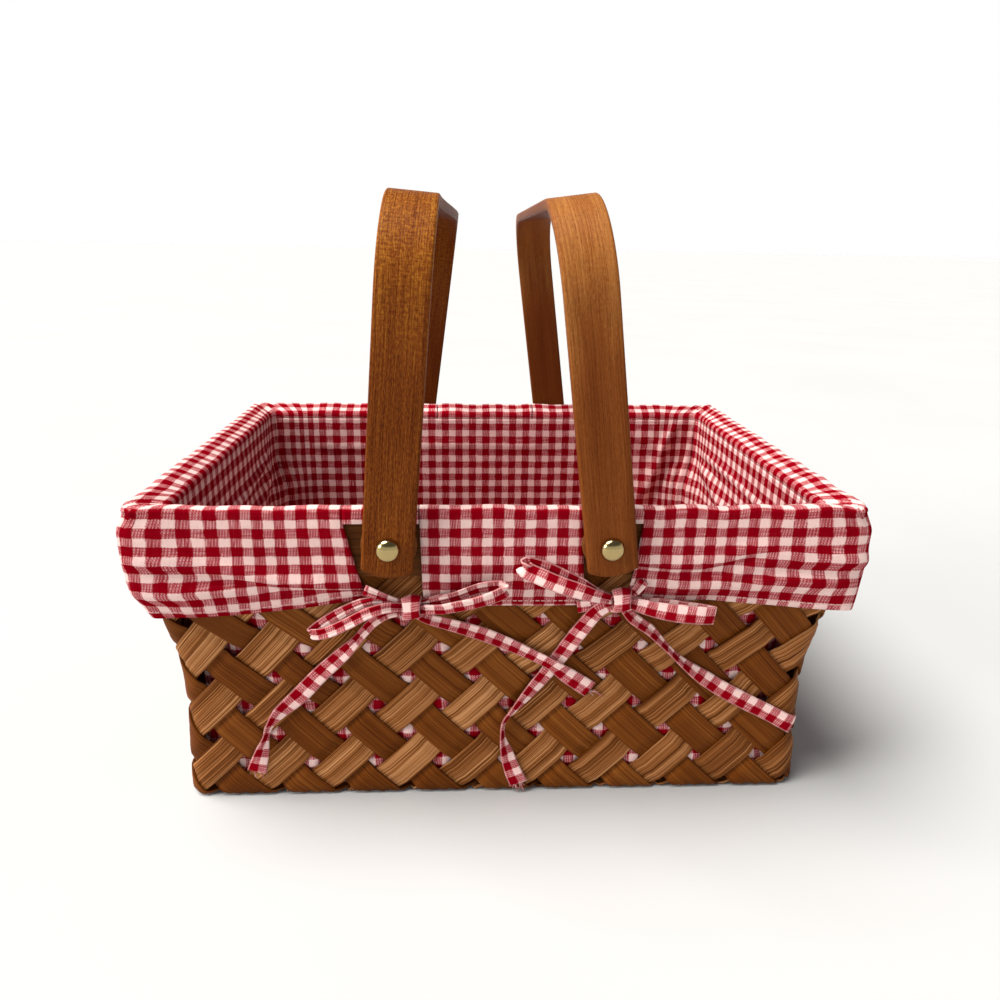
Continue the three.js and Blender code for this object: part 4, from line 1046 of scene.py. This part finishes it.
def ribbon(build, route, rows, start_u):
    """A flat tape along a bow's route, with its checks starting at start_u; gives its length."""
    p = catmull(route, rows)
    line, share, roll = p[:, :3], p[:, 3], np.radians(p[:, 4])
    line[:, 1] += wall_out(line[:, 2]) + 0.5 * TAPE_W * share * np.abs(np.sin(roll))
    way = unit(np.gradient(line, axis=0))
    across = np.cross([0.0, 1.0, 0.0], way)
    across = across * np.sign(across @ across[0])[:, None]  # both strands of a loop keep the same edge up
    near = np.hanning(11)[1:-1]
    padded = np.pad(across, ((4, 4), (0, 0)), mode="edge")
    across = np.stack([np.convolve(padded[:, i], near, "valid") for i in range(3)], axis=-1)
    across = unit(across - way * np.sum(across * way, axis=1, keepdims=True))
    face = np.cross(way, across)
    side = across * np.cos(roll)[:, None] + face * np.sin(roll)[:, None]
    face = face * np.cos(roll)[:, None] - across * np.sin(roll)[:, None]
    steps = np.linspace(-0.5, 0.5, 9)
    length = np.concatenate([[0], np.cumsum(np.linalg.norm(np.diff(line, axis=0), axis=1))])
    points, uv, hem = [], [], []
    for c in steps:
        gather = 1.3 * (1 - share) * np.cos(c * 19) * (np.abs(c) < 0.5)
        bulge = 0.9 * (0.25 - c * c) + gather
        points.append(line + side * (c * TAPE_W * share)[:, None] + face * bulge[:, None])
        uv.append(layered(length + start_u, np.full(len(length), c * TAPE_W)))
        hem.append(np.full(len(length), (0.5 - abs(c)) * TAPE_W * MM))
    build.grid(np.stack(points, 1), np.stack(uv, 1), hem=np.stack(hem, 1))
    return length[-1]


def knot(build, x, out, z):
    """The tape's turn round the middle of the bow."""
    angle = np.linspace(0, 2 * math.pi, 36)
    across = np.linspace(-1, 1, 9)
    grid_angle, grid_across = np.meshgrid(angle, across, indexing="ij")
    swell = 1 - 0.16 * grid_across**2 + 0.05 * np.cos(3 * grid_angle + 2 * grid_across)
    points = layered(
        x + 4.2 * grid_across * (1 + 0.10 * np.cos(2 * grid_angle)),
        out + 3.6 * swell * np.sin(grid_angle),
        z + 5.6 * swell * np.cos(grid_angle) + 0.4 * grid_across,
    )
    uv = layered(5.2 * grid_angle + 3.0, 4.4 * grid_across)
    build.grid(points, uv, hem=(1 - np.abs(grid_across)) * 4.4 * MM)
    return 5.2 * 2 * math.pi


def fray(build, tip, way, seed, count):
    """Loose threads at the cut end of a tape."""
    r = np.random.default_rng(seed)
    for _ in range(count):
        start = tip + np.array([r.uniform(-3.4, 3.4), 0.2, r.uniform(-0.4, 0.4)])
        bend = r.uniform(-1.5, 1.5, 3) * [1, 0.3, 1]
        size = r.uniform(2.0, 5.5)
        t = np.linspace(0, 1, 6)[:, None]
        line = start + way * size * t + bend * t**2
        wide_by = 0.10 * np.array([1.0, 0.0, 0.4])
        points = np.stack([line - wide_by, line + wide_by], axis=1)
        uv = np.zeros((6, 2, 2)) + r.uniform(0, 9, 2)
        build.grid(points, uv)


# Each bow: its knot, the routes of its parts to the left and to the right, as rows of [aside from the pivot,
# off the weave, height, width share, roll in degrees], and frays, the loose threads at the tails' ends
LEFT_BOW = {
    "knot": (9.5, 6.6, 110.8),
    "loops": (
        [
            (7, 7.5, 111, 0.45, 0), (-1.5, 9.5, 112, 0.5, -10), (-10.5, 10.4, 109.5, 0.56, -14),
            (-20, 10.2, 104, 0.58, -14), (-29.5, 9.6, 99, 0.58, -10), (-36.5, 7.8, 97, 0.6, 0),
            (-35, 5.6, 98.8, 0.6, 10), (-28, 5.0, 104, 0.6, 14), (-20, 5.2, 109, 0.56, 14),
            (-12.5, 5.8, 112.5, 0.5, 10), (-5, 6.2, 113.8, 0.45, 0), (5, 6.2, 111.5, 0.4, 0),
        ],
        [
            (12, 7.5, 110, 0.5, 0), (22.5, 10.4, 111.5, 0.6, -8), (30, 12.4, 114, 0.66, -12),
            (37.5, 13.0, 116, 0.68, -14), (45, 12.6, 118.2, 0.7, -10), (51.5, 10.8, 120.4, 0.72, 0),
            (49, 8.4, 122, 0.68, 10), (42, 7.8, 121.2, 0.64, 14), (37.5, 7.6, 119.8, 0.6, 14),
            (30, 7.4, 116.5, 0.58, 10), (22.5, 7.0, 114, 0.5, 0), (13, 6.4, 111.5, 0.4, 0),
        ],
    ),
    "tails": (
        [
            (7, 7, 109, 0.45, 0), (-1.5, 6.5, 107, 0.5, 0), (-9, 5, 101.5, 0.5, -10), (-17, 3, 91, 0.52, -20),
            (-24.5, 1.6, 82, 0.8, -6), (-36.5, 1, 69.5, 0.95, 0), (-46.5, 1, 58.5, 1, 4),
            (-56.5, 1, 49.5, 0.85, 20), (-62, 1, 42.5, 0.6, 45), (-64.5, 1, 36, 0.5, 50),
            (-67, 1, 27.5, 0.8, 20), (-70.5, 1, 15.5, 1.1, 0),
        ],
        [
            (11, 7, 108, 0.5, 0), (17, 7, 104.5, 0.55, 5), (28.5, 5.5, 100, 0.65, 8), (42, 3.4, 94, 0.75, 8),
            (54, 2.2, 87.5, 0.75, 0), (65.5, 2.2, 81.5, 0.7, -10), (76.5, 2.6, 75.5, 0.8, -20),
            (84, 1.8, 68.5, 0.95, 0), (96, 1, 59.5, 1.05, 0),
        ],
    ),
    "tabs": (
        [(-12, 5.2, 119, 0.6, 0), (-2.5, 6, 115.5, 0.38, 0), (6, 6.2, 112, 0.35, 0)],
        [(24, 5.8, 114.5, 0.6, 0), (17, 6, 113, 0.45, 0), (11, 6.2, 111.5, 0.4, 0)],
    ),
    "frays": (4, 5),
}
RIGHT_BOW = {
    "knot": (7.0, 6.6, 113.8),
    "loops": (
        [
            (3.5, 7, 114, 0.5, 0), (-6, 9.4, 117.5, 0.7, -6), (-14, 10.6, 120.8, 0.85, -8),
            (-22.5, 11.0, 124, 0.88, -8), (-30, 10.8, 127.2, 0.9, -6), (-38, 9.4, 130.6, 0.92, 0),
            (-36.5, 7.6, 132, 0.88, 6), (-28.5, 7.2, 129.6, 0.86, 8), (-21, 7.2, 126.2, 0.8, 8),
            (-12.5, 7, 122, 0.7, 6), (-4, 6.8, 117, 0.55, 0), (4, 6.6, 114, 0.4, 0),
        ],
        [
            (10.5, 7, 112.5, 0.5, 0), (16, 8.4, 111.5, 0.75, 4), (25, 9.6, 109.5, 0.9, 6),
            (34.5, 10, 108, 1, 6), (44.5, 9.6, 106.6, 1, 4), (51.5, 7.8, 105.4, 1, 0),
            (46, 5.6, 106, 1, -4), (35.5, 5.2, 107.8, 0.95, -4), (26, 5.4, 109.8, 0.8, 0),
            (16, 6.2, 112, 0.6, 0), (9, 6.4, 113.5, 0.4, 0),
        ],
    ),
    "tails": (
        [
            (4.5, 7, 112.5, 0.55, 0), (-3.5, 7, 108, 0.8, 0), (-9, 5, 99, 0.88, -4), (-13.5, 3, 90, 0.92, -4),
            (-18, 1.2, 80.5, 0.92, 0), (-25, 0.9, 69.5, 0.85, 6), (-33, 0.9, 59, 0.75, 14),
            (-40.5, 0.9, 49.5, 0.55, 35), (-45.5, 0.9, 43, 0.4, 55), (-46.5, 0.9, 35, 0.4, 55),
            (-44, 0.9, 24.5, 0.75, 20), (-41, 0.9, 14.5, 0.95, 5), (-37.5, 0.9, 5.6, 1.08, 0),
        ],
        [
            (8.5, 7, 110.5, 0.5, 0), (13.5, 6.5, 104, 0.6, 15), (22, 5, 97, 0.6, 25), (29, 3.2, 89, 0.5, 40),
            (36, 2, 81, 0.42, 45), (44, 1.2, 73.5, 0.6, 30), (53, 1, 66.5, 0.85, 12), (63, 1, 59.5, 0.95, 4),
            (76.5, 1, 51.5, 1, 0), (90.5, 1, 44, 1, 0), (103.5, 1, 36.5, 1.05, 0),
        ],
    ),
    "tabs": (
        [(-13, 5.4, 109.5, 0.7, 0), (-2, 6, 111.5, 0.5, 0), (5, 6.2, 113, 0.4, 0)],
        [(17, 5.6, 123, 0.6, 0), (14, 6, 118.5, 0.5, 0), (9.5, 6.2, 114.5, 0.4, 0)],
    ),
    "frays": (11, 0),
}


def bow_pieces(place, side, bow, out):
    """The two tapes of a bow; the right one is also wound round the knot."""
    def moved(p):
        x = PIVOTS[side] - out * p[:, 0]
        past = np.clip(np.abs(x) - FOOT_W + FOOT_R, 0, 0.9 * FOOT_R)
        round_corner = FOOT_R - np.sqrt(FOOT_R**2 - past**2)
        return layered(x, out * (RIM_D + p[:, 1] - round_corner), p[:, 2])

    for index, half in enumerate(("left", "right")):
        build = Build()
        tail = bow["tails"][index]
        total = ribbon(build, bow["loops"][index], rows=110, start_u=3.0 * index)
        total += ribbon(build, tail, rows=110, start_u=40.0 + 6 * index)
        total += ribbon(build, bow["tabs"][index], rows=18, start_u=90.0)
        if index == 1:
            total += knot(build, *bow["knot"])
        end, before = np.array(tail[-1][:3]), np.array(tail[-2][:3])
        tip = end + [0, wall_out(end[2]), 0]
        fray(build, tip, unit(end - before), 31 + 7 * index + len(side), bow["frays"][index])
        node = f"bow_{place}_{side}_{half}_tape"
        piece = build.object(node + "_cloth", tape_cloth, moved)
        thicken(piece, TAPE)
        dress(piece, "basket", "gingham", node)


bow_pieces("front", "left", LEFT_BOW, -1)
bow_pieces("front", "right", RIGHT_BOW, -1)
bow_pieces("back", "right", LEFT_BOW, 1)
bow_pieces("back", "left", RIGHT_BOW, 1)


# Floor, light and camera

floor_shader = Shader("pale_floor", Roughness=0.75)
shade = floor_shader.noise(floor_shader.node("TexCoord").outputs["Object"], 3.0, 2)
floor_tint = floor_shader.ramp(shade, [(0.3, (0.475, 0.475, 0.47)), (0.7, (0.495, 0.495, 0.49))])
floor_material = floor_shader.finish(floor_tint)
FLOOR_Z = -0.3
ring = np.concatenate([[0.0], np.geomspace(50, 60000, 40)])
turn = np.linspace(0, 2 * math.pi, 96, endpoint=False)
grid_turn, grid_ring = np.meshgrid(turn, ring, indexing="ij")
floor = Build()
floor_points = layered(grid_ring * np.cos(grid_turn), grid_ring * np.sin(grid_turn), FLOOR_Z)
floor.grid(floor_points, closed=True, flip=True)
floor = floor.object("floor", floor_material)

world = bpy.data.worlds.new("studio")
world.use_nodes = True
nodes, links = world.node_tree.nodes, world.node_tree.links
up = nodes.new("ShaderNodeSeparateXYZ")
links.new(nodes.new("ShaderNodeTexCoord").outputs["Generated"], up.inputs[0])


def sky_ramp(axis, low, high):
    """Light of the sky along an axis, from one [place, brightness] to another."""
    made = nodes.new("ShaderNodeValToRGB")
    links.new(up.outputs[axis], made.inputs[0])
    for element, (place, tint) in zip(made.color_ramp.elements, (low, high)):
        element.position, element.color = place, (*tint, 1)
    return made.outputs[0]


both = nodes.new("ShaderNodeMix")
both.data_type, both.blend_type = "RGBA", "MULTIPLY"
both.inputs[0].default_value = 1.0
links.new(sky_ramp(2, (0.28, (1.0, 1.0, 1.0)), (0.48, (0.16, 0.165, 0.175))), both.inputs[6])
links.new(sky_ramp(1, (0.0, (0.80, 0.80, 0.805)), (0.3, (1.0, 1.0, 1.0))), both.inputs[7])
links.new(both.outputs[2], nodes["Background"].inputs[0])
bpy.context.scene.world = world


def sun_light(name, towards, power, spread, colour):
    """A soft light far away, shining from a direction."""
    light = bpy.data.lights.new(name, "SUN")
    light.energy, light.angle, light.color = power, math.radians(spread), colour
    made = bpy.data.objects.new(name, light)
    bpy.context.scene.collection.objects.link(made)
    made.rotation_euler = Vector(towards).to_track_quat("Z", "Y").to_euler()


sun_light("key", (-0.43, -0.03, 0.90), 5.7, 40, (1.0, 0.98, 0.95))
sun_light("side", (-0.87, -0.30, 0.38), 1.7, 26, (1.0, 0.98, 0.96))

# The photograph's camera
LENS = 27.86
CAMERA_AT = (-0.0189, -0.4425, 0.2686)
CAMERA_TURN, CAMERA_TILT, CAMERA_ROLL = -0.0528, math.pi / 2 - 0.3175, 0.0163
camera = bpy.data.cameras.new("camera")
camera.sensor_fit = "HORIZONTAL"
camera.sensor_width = 36.0
camera.lens = LENS
camera.clip_start, camera.clip_end = 0.01, 100
eye = bpy.data.objects.new("camera", camera)
bpy.context.scene.collection.objects.link(eye)
turned = Matrix.Rotation(CAMERA_TURN, 4, "Z") @ Matrix.Rotation(CAMERA_TILT, 4, "X")
turned = turned @ Matrix.Rotation(CAMERA_ROLL, 4, "Z")
eye.matrix_world = Matrix.Translation(CAMERA_AT) @ turned
bpy.context.scene.camera = eye
bpy.context.scene.view_settings.view_transform = "Standard"
